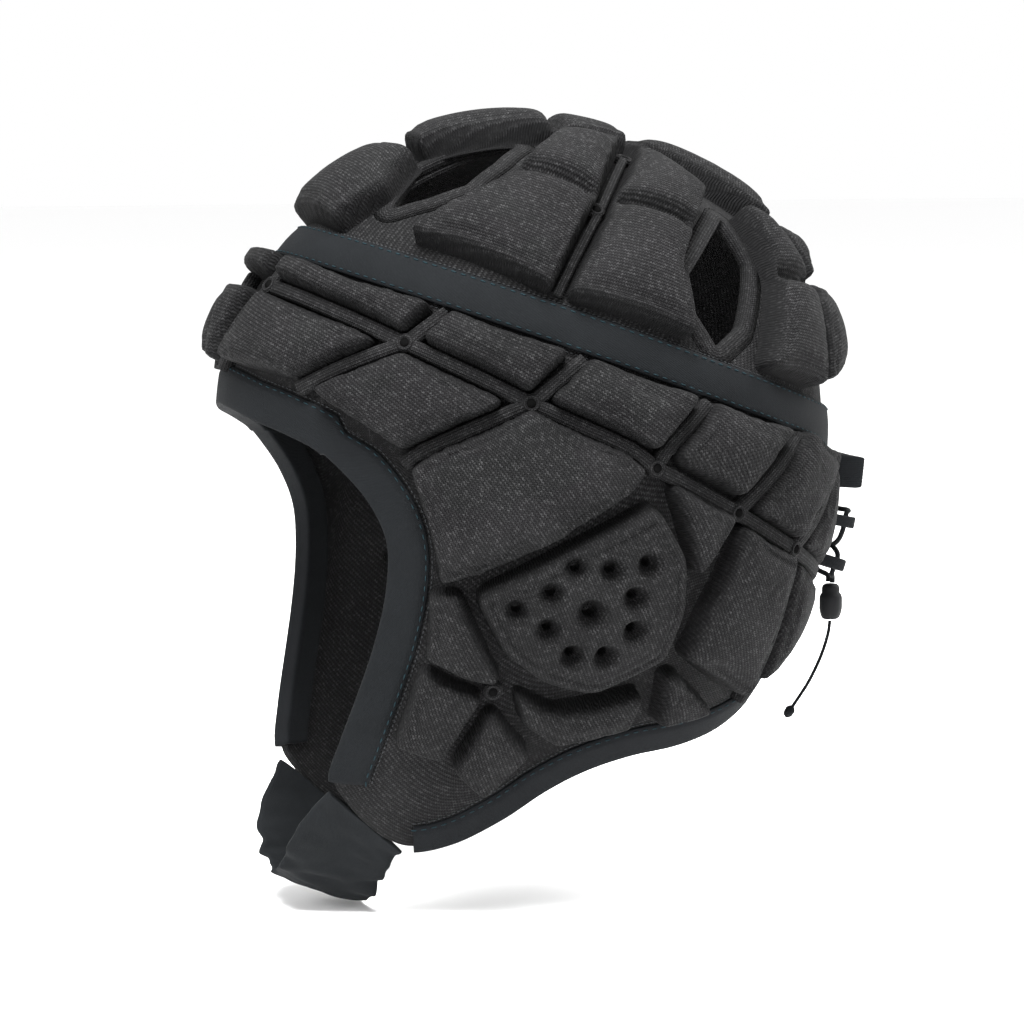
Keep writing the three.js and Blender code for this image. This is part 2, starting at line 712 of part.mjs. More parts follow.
// Gathered strap from one flap tip under the chin to the other
function chinStrap() {
  const rowAt = (index) => at(HEM[index].around, HEM[index].down);
  const [first, last] = [hemIndex('front'), hemIndex('back')];
  const middle = rowAt(Math.round((first + last) / 2));
  const front = form(rowAt(first));
  const back = form(rowAt(last));
  const across = back.clone().sub(front).normalize();
  const leave = new THREE.Vector3().crossVectors(across, outward(middle)).normalize();
  if (leave.z > 0) {
    leave.negate();
  }
  const start = surface(middle, -SHELL_WALL / 2).addScaledVector(leave, STRAP_SEAT_GAP);
  const chin = new THREE.Vector3(0, -CHIN_FORWARD, -CHIN_DROP);
  const bend = start.distanceTo(chin) * 0.45;
  const half = new THREE.CubicBezierCurve3(
    start,
    start.clone().addScaledVector(leave, bend),
    chin.clone().add(new THREE.Vector3(bend, 0, 0)),
    chin,
  );
  const chinAcross = new THREE.Vector3(0, Math.cos(CHIN_PITCH * DEGREE), -Math.sin(CHIN_PITCH * DEGREE));
  const steps = 2 * STRAP_RUFFLES;
  const rings = [];
  for (let i = 0; i <= 2 * steps; i += 1) {
    const near = i <= steps;
    const t = near ? i / steps : 2 - i / steps;
    const point = half.getPointAt(t);
    const along = half.getTangentAt(t);
    const width = across.clone().lerp(chinAcross, t);
    width.addScaledVector(along, -width.dot(along)).normalize();
    const face = new THREE.Vector3().crossVectors(along, width);
    const ease = Math.min(1, t * 6);
    const wave = STRAP_RUFFLE * ease * (i % 2 === 0 ? 1 : -1);
    const edge = STRAP_WIDTH / 2 + 0.5 * wave;
    const section = [
      { w: -edge, f: -0.5 * STRAP_THICKNESS + wave },
      { w: 0, f: -0.5 * STRAP_THICKNESS - 0.5 * wave },
      { w: edge, f: -0.5 * STRAP_THICKNESS + wave },
      { w: edge, f: 0.5 * STRAP_THICKNESS + wave },
      { w: 0, f: 0.5 * STRAP_THICKNESS - 0.5 * wave },
      { w: -edge, f: 0.5 * STRAP_THICKNESS + wave },
    ];
    const ring = section.map(({ w, f }) => point.clone().addScaledVector(width, w).addScaledVector(face, f));
    rings.push(near ? ring : ring.map(mirrored));
  }
  return throughRings(rings);
}

// Small bar through four corners given at two heights, for loops and ribs
function bar(corners, low, high) {
  const ring = (height) => corners.map((n) => surface(n, height));
  return toSolid(throughRings([ring(low), ring(high)]));
}

const loopCentre = (up) => slitHalf(up) + SLIT_TAPE_WIDTH / 2;

// Block over a rectangle of the back, between two heights
function backBlock(left, right, bottom, top, low, high) {
  const corners = [[left, bottom], [right, bottom], [right, top], [left, top]];
  return bar(corners.map(([x, up]) => onBack(x, up)), low, high);
}

// Tape down both edges of the slit, with lace loops on it and a ribbed block at its top
function laceFrame() {
  const low = SEAT_GAP;
  const high = SEAT_GAP + TAPE_THICKNESS;
  const inside = low + TAPE_THICKNESS / 2;
  const legRows = [-LEG_BELOW, (SLIT_TOP - LEG_BELOW) / 2, SLIT_TOP];
  const leg = (side) => toSolid(throughRings(legRows.map((up) => {
    const near = onBack(side * (slitHalf(up) + CORD_CLEARANCE), up);
    const far = onBack(side * (slitHalf(up) + SLIT_TAPE_WIDTH), up);
    return [surface(near, low), surface(far, low), surface(far, high), surface(near, high)];
  })));
  const blockHalf = Math.max(BLOCK_WIDTH / 2, slitHalf(SLIT_TOP) + SLIT_TAPE_WIDTH);
  const foot = SLIT_TOP - CORD_CLEARANCE;
  const blockRows = [foot, SLIT_TOP + BLOCK_HEIGHT / 2, SLIT_TOP + BLOCK_HEIGHT];
  const block = toSolid(throughRings(blockRows.map((up) => {
    const row = [-blockHalf, 0, blockHalf].map((x) => onBack(x, up));
    return [...row.map((n) => surface(n, low)), ...row.reverse().map((n) => surface(n, high))];
  })));
  const pitch = BLOCK_WIDTH / RIB_COUNT;
  const middle = SLIT_TOP + BLOCK_HEIGHT - RIB_LENGTH / 2 - CORD_CLEARANCE;
  const ribs = Array.from({ length: RIB_COUNT }, (_, i) => {
    const left = (i + (1 - RIB_SHARE) / 2 - RIB_COUNT / 2) * pitch;
    const right = left + pitch * RIB_SHARE;
    return backBlock(left, right, middle - RIB_LENGTH / 2, middle + RIB_LENGTH / 2, inside, RIB_RISE);
  });
  const loops = LOOP_ROWS.flatMap((up) => [1, -1].map((side) => {
    const centre = side * loopCentre(up);
    const half = LACE_LOOP_SPAN / 2;
    const reach = LACE_LOOP_WIDTH / 2;
    const open = half - LACE_LOOP_WALL;
    return backBlock(centre - half, centre + half, up - reach, up + reach, inside, LACE_LOOP_RISE).subtract(
      backBlock(
        centre - open, centre + open, up - 2 * reach, up + 2 * reach,
        high + LACE_LOOP_WALL, LACE_LOOP_RISE - LACE_LOOP_WALL,
      ),
    );
  }));
  return fromSolid([leg(1), leg(-1), block, ...ribs, ...loops].reduce((whole, piece) => whole.add(piece)));
}

// Tube of a cord along a route
function cordAlong(points, radius, sides, steps) {
  const circle = new THREE.Shape();
  for (let i = 0; i < sides; i += 1) {
    const turn = (i / sides) * 2 * Math.PI;
    const corner = [radius * Math.cos(turn), radius * Math.sin(turn)];
    if (i === 0) {
      circle.moveTo(...corner);
    } else {
      circle.lineTo(...corner);
    }
  }
  circle.closePath();
  const path = new THREE.CatmullRomCurve3(points, false, 'centripetal');
  const tube = new THREE.ExtrudeGeometry(circle, { steps, bevelEnabled: false, extrudePath: path });
  return welded(tube);
}

function welded(geometry) {
  const position = geometry.getAttribute('position');
  const keys = new Map();
  const points = [];
  const order = [];
  for (let i = 0; i < position.count; i += 1) {
    const p = new THREE.Vector3().fromBufferAttribute(position, i);
    const key = p.toArray().map((value) => Math.round(value * 1e4)).join();
    if (!keys.has(key)) {
      keys.set(key, points.length);
      points.push(p);
    }
    order.push(keys.get(key));
  }
  const index = geometry.getIndex();
  const corners = index ? Array.from(index.array, (i) => order[i]) : order;
  const triangles = [];
  for (let i = 0; i < corners.length; i += 3) {
    const [a, b, c] = corners.slice(i, i + 3);
    if (a !== b && b !== c && a !== c) {
      triangles.push([a, b, c]);
    }
  }
  return meshFrom(points, triangles);
}

// The lace runs through the loops, pulled outwards and against their inner ends
const LACE_HEIGHT = LACE_LOOP_RISE - LACE_LOOP_WALL - LACE_RADIUS - CORD_CLEARANCE;
const LACE_PULL = LACE_LOOP_SPAN / 2 - LACE_LOOP_WALL - LACE_RADIUS - CORD_CLEARANCE;
const LOCK_TOP = LOOP_ROWS[LOOP_ROWS.length - 1] - LACE_LOOP_WIDTH * 1.4;

function lockPlace() {
  const top = surface(onBack(0, LOCK_TOP), LACE_HEIGHT + LOCK_STAND);
  return top.add(new THREE.Vector3(0, 0, -LOCK_HEIGHT / 2));
}

// Lace from the lock up one side, crossing between the rows of loops, and down the other
function drawcord() {
  const past = LACE_LOOP_WIDTH * 0.7;
  const [upper, lower] = LOOP_ROWS;
  const inLoop = (up, side) => [past, -past].map(
    (step) => surface(onBack(side * (loopCentre(up) - LACE_PULL), up + step), LACE_HEIGHT),
  );
  const lockTop = lockPlace().add(new THREE.Vector3(0, 0, LOCK_HEIGHT / 2 + CORD_CLEARANCE));
  const strand = (side, lift) => [
    surface(onBack(side * LACE_RADIUS * 3, SLIT_TOP - 2 * LACE_RADIUS), LACE_HEIGHT + LACE_STAND),
    ...inLoop(upper, side),
    surface(onBack(0, (upper + lower) / 2), LACE_HEIGHT + lift),
    ...inLoop(lower, -side),
    lockTop.clone().add(new THREE.Vector3(-side * LACE_RADIUS * 2, 0, LACE_RADIUS * 2)),
    lockTop.clone().add(new THREE.Vector3(-side * LACE_RADIUS * 2, 0, 0)),
  ];
  const route = [...strand(1, LACE_CROSSING).reverse(), ...strand(-1, -LACE_CROSSING)];
  return cordAlong(route, LACE_RADIUS, 6, 26);
}

function cordLock() {
  const r = LOCK_RADIUS;
  const h = LOCK_HEIGHT;
  const profile = [
    [0, -h / 2], [r * 0.75, -h / 2], [r, -h * 0.38], [r, h * 0.18],
    [r * 0.8, h * 0.26], [r * 0.8, h * 0.42], [r * 0.6, h / 2], [0, h / 2],
  ].map(([x, y]) => new THREE.Vector2(x, y));
  const body = new THREE.LatheGeometry(profile, 10);
  body.rotateX(90 * DEGREE);
  const place = lockPlace();
  body.translate(place.x, place.y, place.z);
  return welded(body);
}

// Free tail of the lace with its knot: route offsets from the lock's foot, hanging forward
const TAIL_ROUTE = [
  [0, 0, 0], [0.2, -0.5, -3.5], [0.5, -1.7, -7.5], [0.8, -3.5, -12], [1, -5.7, -16.5],
  [0.9, -8.1, -21], [0.5, -10.6, -25], [0, -12.9, -28.5], [-0.5, -14.8, -31.5],
];

function laceTail() {
  const foot = lockPlace().add(new THREE.Vector3(0, 0, -LOCK_HEIGHT / 2 - CORD_CLEARANCE));
  const route = TAIL_ROUTE.map(([x, y, z]) => foot.clone().add(new THREE.Vector3(x, y, z)));
  const cord = toSolid(cordAlong(route, TAIL_RADIUS, 6, 9));
  const knot = new THREE.SphereGeometry(TAIL_KNOT_RADIUS, 8, 6);
  const end = route[route.length - 1];
  knot.translate(end.x, end.y, end.z);
  return fromSolid(cord.add(toSolid(welded(knot))));
}

function earPad(side) {
  const body = toSolid(padBody(EAR_OUTLINE.map(side), EAR_SEAM_WIDTH / 2, false));
  return fromSolid(cutAll(body, earBores(side)));
}

const cap = new THREE.Group();

function addMesh(name, geometry, look) {
  const mesh = new THREE.Mesh(geometry, new THREE.MeshStandardMaterial(look));
  mesh.name = name;
  cap.add(mesh);
}

addMesh('crown_shell', crownShell(), KNIT);
addMesh('side_shell', sideShell(), KNIT);
addMesh('tape_band', tapeBand(), TAPE);
addMesh('face_binding', faceBinding(), TAPE);
addMesh('nape_binding_left', napeBinding(1), TAPE);
addMesh('nape_binding_right', napeBinding(-1), TAPE);
addMesh('chin_strap', chinStrap(), TAPE);
addMesh('lace_frame', laceFrame(), TAPE);
addMesh('drawcord', drawcord(), TAPE);
addMesh('cord_lock', cordLock(), PLASTIC);
addMesh('lace_tail', laceTail(), TAPE);
addMesh('ear_pad_left', earPad(same), KNIT);
addMesh('ear_pad_right', earPad(mirrored), KNIT);

for (const [name, row] of Object.entries(SIDE_PADS)) {
  const { corners, channel = CHANNEL_WIDTH, crease, height } = row;
  for (const [suffix, side] of [['left', same], ['right', mirrored]]) {
    const pad = padOf(corners.map(side), channel, crease && crease.map(side), height);
    addMesh(`${name}_${suffix}`, pad, KNIT);
  }
}

for (const [name, { half, crease }] of Object.entries(MIDLINE_PADS)) {
  const corners = [...half, ...half.map(mirrored).reverse()];
  addMesh(name, padOf(corners, CHANNEL_WIDTH, crease && [crease, mirrored(crease)]), KNIT);
}

// The centre of the form sits this far below the inside top of the crown
cap.position.z = -surface(new THREE.Vector3(0, 0, 1), -SHELL_WALL).z;

export default cap;
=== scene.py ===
# %% [markdown]
# # A rugby scrum cap in Blender
# The cap is a knitted shell with foam pads moulded into it. The CAD frame gives every part its place and
# size. This script dresses the frame: each pad becomes a soft pillow, the tapes get rounded edges and
# stitches, and every surface gets a procedural finish. Everything is worked out from the same head form
# as the CAD source.

# %% Load the frame
import math

import bmesh
import bpy
import numpy as np
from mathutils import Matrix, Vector
from mathutils.geometry import delaunay_2d_cdt


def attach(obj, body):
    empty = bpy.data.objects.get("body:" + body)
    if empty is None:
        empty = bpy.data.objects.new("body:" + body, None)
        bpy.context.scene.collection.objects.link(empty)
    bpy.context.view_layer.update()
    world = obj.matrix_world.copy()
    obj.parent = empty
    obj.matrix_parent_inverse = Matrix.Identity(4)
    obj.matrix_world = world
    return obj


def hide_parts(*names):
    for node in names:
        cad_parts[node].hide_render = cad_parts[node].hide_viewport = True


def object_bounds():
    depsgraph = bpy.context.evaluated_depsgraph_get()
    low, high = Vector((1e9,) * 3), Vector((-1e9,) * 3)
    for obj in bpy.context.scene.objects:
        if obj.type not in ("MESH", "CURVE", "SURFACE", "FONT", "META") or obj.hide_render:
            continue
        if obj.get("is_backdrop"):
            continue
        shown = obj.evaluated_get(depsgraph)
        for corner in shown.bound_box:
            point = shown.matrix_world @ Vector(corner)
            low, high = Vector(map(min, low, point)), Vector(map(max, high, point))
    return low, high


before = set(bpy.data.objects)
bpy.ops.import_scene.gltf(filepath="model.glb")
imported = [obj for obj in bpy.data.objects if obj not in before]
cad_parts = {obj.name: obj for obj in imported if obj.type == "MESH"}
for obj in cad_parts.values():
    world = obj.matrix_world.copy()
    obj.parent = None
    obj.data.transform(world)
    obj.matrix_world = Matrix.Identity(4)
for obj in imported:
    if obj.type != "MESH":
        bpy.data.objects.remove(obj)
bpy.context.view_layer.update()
scene = bpy.context.scene

# %% [markdown]
# ## The head form
# A cap has no flat face to measure from. Its cloth is described as a distance from a centre between the
# ears, for every direction: a rounded egg that narrows and swings forward towards the jaw, with a few
# gentle swells. Sizes are in millimetres, as a maker would note them, and become metres when a mesh is
# made.

# %% Sizes of the form and its cloth
MM = 0.001
HALF_WIDTH = 80.0
HALF_LENGTH = 102.0
CROWN_RISE = 98.0
JAW_DROP = 160.0
JAW_FORWARD = 36.0
JAW_TAPER = 0.2
EGG = 0.06
CROWN_TILT = math.radians(20.4)
SHELL_WALL = 3.0
SWELLS = [
    {"name": "upper back", "axis": (0, 0.87, 0.5), "spread": 24, "rise": 0.054},
    {"name": "brow", "axis": (0, -0.94, 0.34), "spread": 22, "rise": 0.025},
    {"name": "behind the ear", "axis": (0.45, 0.66, -0.6), "spread": 26, "rise": 0.098},
    {"name": "crown", "axis": (0, 0.34, 0.94), "spread": 20, "rise": -0.02},
]
CROWN = np.array([0.0, math.sin(CROWN_TILT), math.cos(CROWN_TILT)])
BACK = np.array([0.0, math.cos(CROWN_TILT), -math.sin(CROWN_TILT)])
EAR = np.array([1.0, 0.0, 0.0])


def unit(v):
    return v / np.linalg.norm(v, axis=-1, keepdims=True)


def dot(a, b):
    return np.sum(a * b, axis=-1)


def smoothstep(t):
    t = np.clip(t, 0.0, 1.0)
    return t * t * (3 - 2 * t)


def at(around, down):
    """A direction from the centre: degrees around from the brow, and down from the crown's axis."""
    a = np.radians(np.asarray(around, float))[..., None]
    d = np.radians(np.asarray(down, float))[..., None]
    return -np.cos(a) * np.sin(d) * BACK + np.sin(a) * np.sin(d) * EAR + np.cos(d) * CROWN


def over_top(side, behind):
    """A direction near the midline: degrees to the side, and behind the crown's axis."""
    s = np.radians(np.asarray(side, float))[..., None]
    b = np.radians(np.asarray(behind, float))[..., None]
    return np.cos(s) * np.sin(b) * BACK + np.sin(s) * EAR + np.cos(s) * np.cos(b) * CROWN


def form(n):
    """Point of the cloth in a direction, from the centre."""
    low = smoothstep(-n[..., 2])
    x = HALF_WIDTH * n[..., 0] * (1 + EGG * n[..., 1]) * (1 - JAW_TAPER * low)
    y = HALF_LENGTH * n[..., 1] - JAW_FORWARD * low ** 1.4
    z = np.where(n[..., 2] < 0, JAW_DROP, CROWN_RISE) * n[..., 2]
    point = np.stack([x, y, z], -1)
    folded = np.concatenate([np.abs(n[..., :1]), n[..., 1:]], -1)
    for swell in SWELLS:
        angle = np.degrees(np.arccos(np.clip(dot(folded, unit(np.array(swell["axis"], float))), -1, 1)))
        rise = swell["rise"] * HALF_LENGTH * np.exp(-((angle / swell["spread"]) ** 2))
        point = point + rise[..., None] * n
    return point


def tangents(n):
    """Two directions square to n, and how far the cloth moves along each."""
    step = 1e-3
    away = np.where(np.abs(n[..., 2:3]) < 0.9, CROWN, EAR)
    first = unit(np.cross(n, away))
    second = np.cross(first, n)

    def slope(t):
        return (form(unit(n + step * t)) - form(unit(n - step * t))) / (2 * step)

    return first, second, slope(first), slope(second)


def outward(n):
    _, _, along, across = tangents(n)
    normal = unit(np.cross(along, across))
    return normal * np.sign(dot(normal, form(n)))[..., None]


TOP_INSIDE = form(np.array([0.0, 0.0, 1.0])) - SHELL_WALL * outward(np.array([0.0, 0.0, 1.0]))
CENTRE = np.array([0.0, 0.0, -TOP_INSIDE[2]])


def surface(n, height):
    """Point at a height over the cloth, from the origin at the inside top of the crown."""
    return form(n) + outward(n) * np.asarray(height, float)[..., None] + CENTRE


print("centre of the form", CENTRE)

# %% [markdown]
# ## Flat maps
# A pad is cut flat and sewn on a curved head. A flat map unrolls the cloth around one direction to
# millimetres, so outlines, distances and knit rows can be worked out in the plane and then lifted back on
# to the form.


# %% Flat maps of the cloth
class FlatMap:
    def __init__(self, centre):
        self.centre = centre
        self.first, self.second, self.along, self.across = tangents(centre)
        self.x = unit(self.along)
        self.skew = dot(self.across, self.x)
        self.depth = np.linalg.norm(self.across - self.x * self.skew[..., None], axis=-1)
        self.width = np.linalg.norm(self.along, axis=-1)

    def flatten(self, n):
        s = dot(n, self.first) / dot(n, self.centre)
        t = dot(n, self.second) / dot(n, self.centre)
        return np.stack([self.width * s + self.skew * t, self.depth * t], -1)

    def lift(self, p):
        t = p[..., 1] / self.depth
        s = (p[..., 0] - self.skew * t) / self.width
        return unit(self.centre + self.first * s[..., None] + self.second * t[..., None])


def slide(n, move):
    """Moves directions along the cloth by vectors in millimetres."""
    flat = FlatMap(n)
    y = unit(flat.across - flat.x * flat.skew[..., None])
    return flat.lift(np.stack([dot(move, flat.x), dot(move, y)], -1))


TAPE_DOWN = 70.0
LACING_DOWN = 84.0


def beside_tape(around, distance):
    """A direction below the taped seam, or above it where the distance is negative."""
    n = at(around, TAPE_DOWN)
    flat = FlatMap(n)
    lower = unit(flat.flatten(unit(n - 0.01 * CROWN)))
    return flat.lift(lower * np.asarray(distance, float)[..., None])


BACK_MAP = FlatMap(at(180.0, LACING_DOWN))


def on_back(left, up):
    """A direction on the back: millimetres to the left, and up from the lacing's middle."""
    left, up = np.broadcast_arrays(np.asarray(left, float), np.asarray(up, float))
    return BACK_MAP.lift(np.stack([left, up], -1))


print("tape in front is at", surface(beside_tape(0.0, 0.0), 0.0))

# %% [markdown]
# ## Meshes from points
# A few helpers make every shape that isn't a pad. One turns points and faces into a piece with its own UV
# map in metres, one joins rings into a closed tube or strip, and others round the corners of a flat
# outline, draw a smooth line through points, or put several bodies into one piece.


# %% Helpers that make meshes
def recalculated(mesh):
    shape = bmesh.new()
    shape.from_mesh(mesh)
    bmesh.ops.recalc_face_normals(shape, faces=shape.faces)
    shape.to_mesh(mesh)
    shape.free()


def new_piece(name, points, faces, corners_uv, material):
    """A closed piece from points and faces, with a UV pair for each face corner, all in millimetres."""
    mesh = bpy.data.meshes.new(name)
    mesh.from_pydata((np.asarray(points) * MM).tolist(), [], [list(map(int, face)) for face in faces])
    layer = mesh.uv_layers.new(name="weave")
    layer.data.foreach_set("uv", (np.asarray(corners_uv, np.float32) * MM).ravel())
    recalculated(mesh)
    mesh.shade_smooth()
    mesh.materials.append(material)
    piece = bpy.data.objects.new(name, mesh)
    scene.collection.objects.link(piece)
    return piece


def ring_faces(rings, looped=False):
    """Points, faces and corner UVs of a closed body through rings of equal length."""
    rings = np.asarray(rings)
    count, around = rings.shape[:2]
    points = rings.reshape(-1, 3)
    spans = count if looped else count - 1
    ring_step = np.linalg.norm(np.diff(rings, axis=0, append=rings[:1]), axis=-1).mean(1)
    side_step = np.linalg.norm(np.roll(rings, -1, 1) - rings, axis=-1).mean(0)
    u = np.concatenate([[0], np.cumsum(ring_step)])
    v = np.concatenate([[0], np.cumsum(side_step)])
    faces, uv = [], []
    for r in range(spans):
        low, high = r * around, ((r + 1) % count) * around
        for i in range(around):
            j = (i + 1) % around
            faces.append((low + i, low + j, high + j, high + i))
            uv += [(u[r], v[i]), (u[r], v[i + 1]), (u[r + 1], v[i + 1]), (u[r + 1], v[i])]
    if not looped:
        ends = [list(range(around))[::-1], [(count - 1) * around + i for i in range(around)]]
        for end in ends:
            faces.append(end)
            uv += [(0.0, v[i % around]) for i in end]
    return points, faces, uv


def rounded(corners, inset, radius, step):
    """Flat outline, anticlockwise: moved inwards, its corners rounded and its edges divided."""
    corners = np.asarray(corners, float)
    x, y = corners[:, 0], corners[:, 1]
    if np.sum(x * np.roll(y, -1) - y * np.roll(x, -1)) < 0:
        corners = corners[::-1]
    along = unit(np.roll(corners, -1, 0) - corners)
    inward = np.stack([-along[:, 1], along[:, 0]], -1)
    starts = corners + inward * inset
    meets = []
    for i in range(len(corners)):
        a, b = along[i - 1], along[i]
        gap = starts[i] - starts[i - 1]
        cross = a[0] * b[1] - a[1] * b[0]
        reach = (gap[0] * b[1] - gap[1] * b[0]) / cross if abs(cross) > 1e-6 else gap @ a
        meets.append(starts[i - 1] + a * reach)
    meets = np.array(meets)
    outline = []
    for i, corner in enumerate(meets):
        before, after = meets[i - 1], meets[(i + 1) % len(meets)]
        room = 0.46 * min(np.linalg.norm(corner - before), np.linalg.norm(corner - after))
        bend = math.acos(np.clip(along[i - 1] @ along[i], -1, 1))
        cut = min(room, max(radius * math.tan(bend / 2), min(room, radius * 0.6)))
        first = corner + unit(before - corner) * cut
        last = corner + unit(after - corner) * cut
        parts = max(2, int(np.ceil(2 * cut / step)))
        for t in np.linspace(0, 1, parts + 1):
            outline.append((1 - t) ** 2 * first + 2 * t * (1 - t) * corner + t * t * last)
    outline = np.array(outline)
    divided = []
    for i, p in enumerate(outline):
        following = outline[(i + 1) % len(outline)]
        length = np.linalg.norm(following - p)
        if length < 1e-6:
            continue
        parts = max(1, int(np.ceil(length / step)))
        divided += [p + (following - p) * k / parts for k in range(parts)]
    return np.array(divided)


# Knots between which each stage of a Catmull-Rom span blends two points
KNOT_SPANS = [[(0, 1), (1, 2), (2, 3)], [(0, 2), (1, 3)], [(1, 2)]]


def through(points, per_span):
    """A smooth line through points, by centripetal Catmull-Rom spans."""
    points = np.asarray(points, float)
    padded = np.vstack([2 * points[0] - points[1], points, 2 * points[-1] - points[-2]])
    line = []
    for i in range(1, len(padded) - 2):
        p = padded[i - 1:i + 3]
        knots = np.concatenate([[0], np.cumsum(np.sqrt(np.linalg.norm(np.diff(p, axis=0), axis=1)))])
        for t in np.linspace(knots[1], knots[2], per_span, endpoint=False):
            level = list(p)
            for spans in KNOT_SPANS:
                level = [
                    (a * (knots[last] - t) + b * (t - knots[first])) / (knots[last] - knots[first])
                    for (first, last), a, b in zip(spans, level, level[1:])
                ]
            line.append(level[0])
    line.append(padded[-2])
    return np.array(line)


def tube(line, radius, sides=10):
    """Rings of a round cord along a line, carried without twist."""
    along = unit(np.gradient(line, axis=0))
    side = unit(np.cross(along[0], [0.3, 0.9, 0.2]))
    rings = []
    turn = np.linspace(0, 2 * np.pi, sides, endpoint=False)
    for point, direction in zip(line, along):
        side = unit(side - direction * (side @ direction))
        third = np.cross(direction, side)
        rings.append(point + radius * (np.cos(turn)[:, None] * side + np.sin(turn)[:, None] * third))
    return rings


def joined(name, parts, material):
    """One piece from several bodies, each given as points, faces and corner UVs."""
    points, faces, uv, start = [], [], [], 0
    for part_points, part_faces, part_uv in parts:
        points.append(np.asarray(part_points))
        faces += [[start + int(i) for i in face] for face in part_faces]
        uv += list(part_uv)
        start += len(part_points)
    return new_piece(name, np.vstack(points), faces, uv, material)


print("mesh helpers ready")

# %% [markdown]
# ## Shader maths
# A finish is a formula over the surface. A small class wraps a node socket, so that `rows * 2 + 1` adds
# the Math nodes itself. Everything else, such as noise or a colour ramp, comes from one method that makes
# any node.


# %% A socket that can be calculated with
class Value:
    def __init__(self, tree, socket):
        self.tree = tree
        self.socket = socket

    def math(self, operation, *others):
        made = self.tree.nodes.new("ShaderNodeMath")
        made.operation = operation
        for socket, value in zip(made.inputs, (self, *others)):
            if isinstance(value, Value):
                self.tree.links.new(value.socket, socket)
            else:
                socket.default_value = value
        return Value(self.tree, made.outputs[0])

    def __add__(self, other):
        return self.math("ADD", other)

    __radd__ = __add__

    def __sub__(self, other):
        return self.math("SUBTRACT", other)

    def __rsub__(self, other):
        return (self * -1.0) + other

    def __mul__(self, other):
        return self.math("MULTIPLY", other)

    __rmul__ = __mul__

    def __truediv__(self, other):
        return self.math("DIVIDE", other)

    def __pow__(self, other):
        return self.math("POWER", other)

    def __abs__(self):
        return self.math("ABSOLUTE")


class Finish:
    """A material under construction, with its Principled shader."""

    def __init__(self, name):
        self.material = bpy.data.materials.new(name)
        self.material.use_nodes = True
        self.tree = self.material.node_tree
        self.shader = self.tree.nodes["Principled BSDF"]

    def node(self, kind, settings=None, sockets=None, output=0):
        made = self.tree.nodes.new(kind)
        for key, value in (settings or {}).items():
            setattr(made, key, value)
        for key, value in (sockets or {}).items():
            if isinstance(value, Value):
                self.tree.links.new(value.socket, made.inputs[key])
            else:
                made.inputs[key].default_value = value
        return Value(self.tree, made.outputs[output])

    def blend(self, share, low, high):
        mixed = self.tree.nodes.new("ShaderNodeMix")
        mixed.data_type = "RGBA"
        self.tree.links.new(share.socket, mixed.inputs[0])
        for socket, colour in ((mixed.inputs[6], low), (mixed.inputs[7], high)):
            if isinstance(colour, Value):
                self.tree.links.new(colour.socket, socket)
            else:
                socket.default_value = (*colour, 1.0)
        return Value(self.tree, mixed.outputs[2])

    def weave(self):
        """The piece's own UV map, in metres: across the rows and up them."""
        uv = self.node("ShaderNodeUVMap", {"uv_map": "weave"})
        split = self.tree.nodes.new("ShaderNodeSeparateXYZ")
        self.tree.links.new(uv.socket, split.inputs[0])
        return Value(self.tree, split.outputs[0]), Value(self.tree, split.outputs[1])

    def painted_rim_shade_mask(self):
        """Mask of the painted shade at a pad's foot: 0 where it is sewn down and 1 on its top, from the UV
        map with the distance to the rim.
        """
        uv = self.node("ShaderNodeUVMap", {"uv_map": "rim"})
        split = self.tree.nodes.new("ShaderNodeSeparateXYZ")
        self.tree.links.new(uv.socket, split.inputs[0])
        distance = Value(self.tree, split.outputs[0]) / (RIM_SHADE_WIDTH * MM)
        return distance.math("MAXIMUM", 0.0).math("MINIMUM", 1.0)

    def place(self):
        return self.node("ShaderNodeTexCoord", output=3)

    def noise(self, scale, detail=2.0, roughness=0.5):
        sockets = {"Vector": self.place(), "Scale": scale, "Detail": detail, "Roughness": roughness}
        return self.node("ShaderNodeTexNoise", None, sockets)

    def feed(self, socket, value):
        if isinstance(value, Value):
            self.tree.links.new(value.socket, self.shader.inputs[socket])
        else:
            self.shader.inputs[socket].default_value = value

    def bump(self, height, strength, distance):
        sockets = {"Height": height, "Strength": strength, "Distance": distance}
        self.feed("Normal", self.node("ShaderNodeBump", None, sockets))


# %% [markdown]
# ## The knit
# The face cloth is a charcoal warp knit: narrow rows of loops, each row a chain of small V shapes, with
# painted glints, pale specks in its colour where loops would catch the light, and on the pads painted
# shade towards the sewn rim. The rows follow the piece's UV map, so they bend with the cloth instead of
# cutting straight through it.

# %% Knit, tape, stitch and plastic finishes
KNIT_DARK = (0.002, 0.002, 0.0022)
# KNIT_PALE is the colour of the paler yarn loops and also of the painted glints.
KNIT_PALE = (0.035, 0.035, 0.0357)
KNIT_ROW = 1.0
KNIT_WALE = 0.9
MATT = 0.1
# Painted shade: the pad knit's pale share falls to RIM_SHADE of itself at the sewn rim, over RIM_SHADE_WIDTH
# mm.
RIM_SHADE_WIDTH = 2.6
RIM_SHADE = 0.15


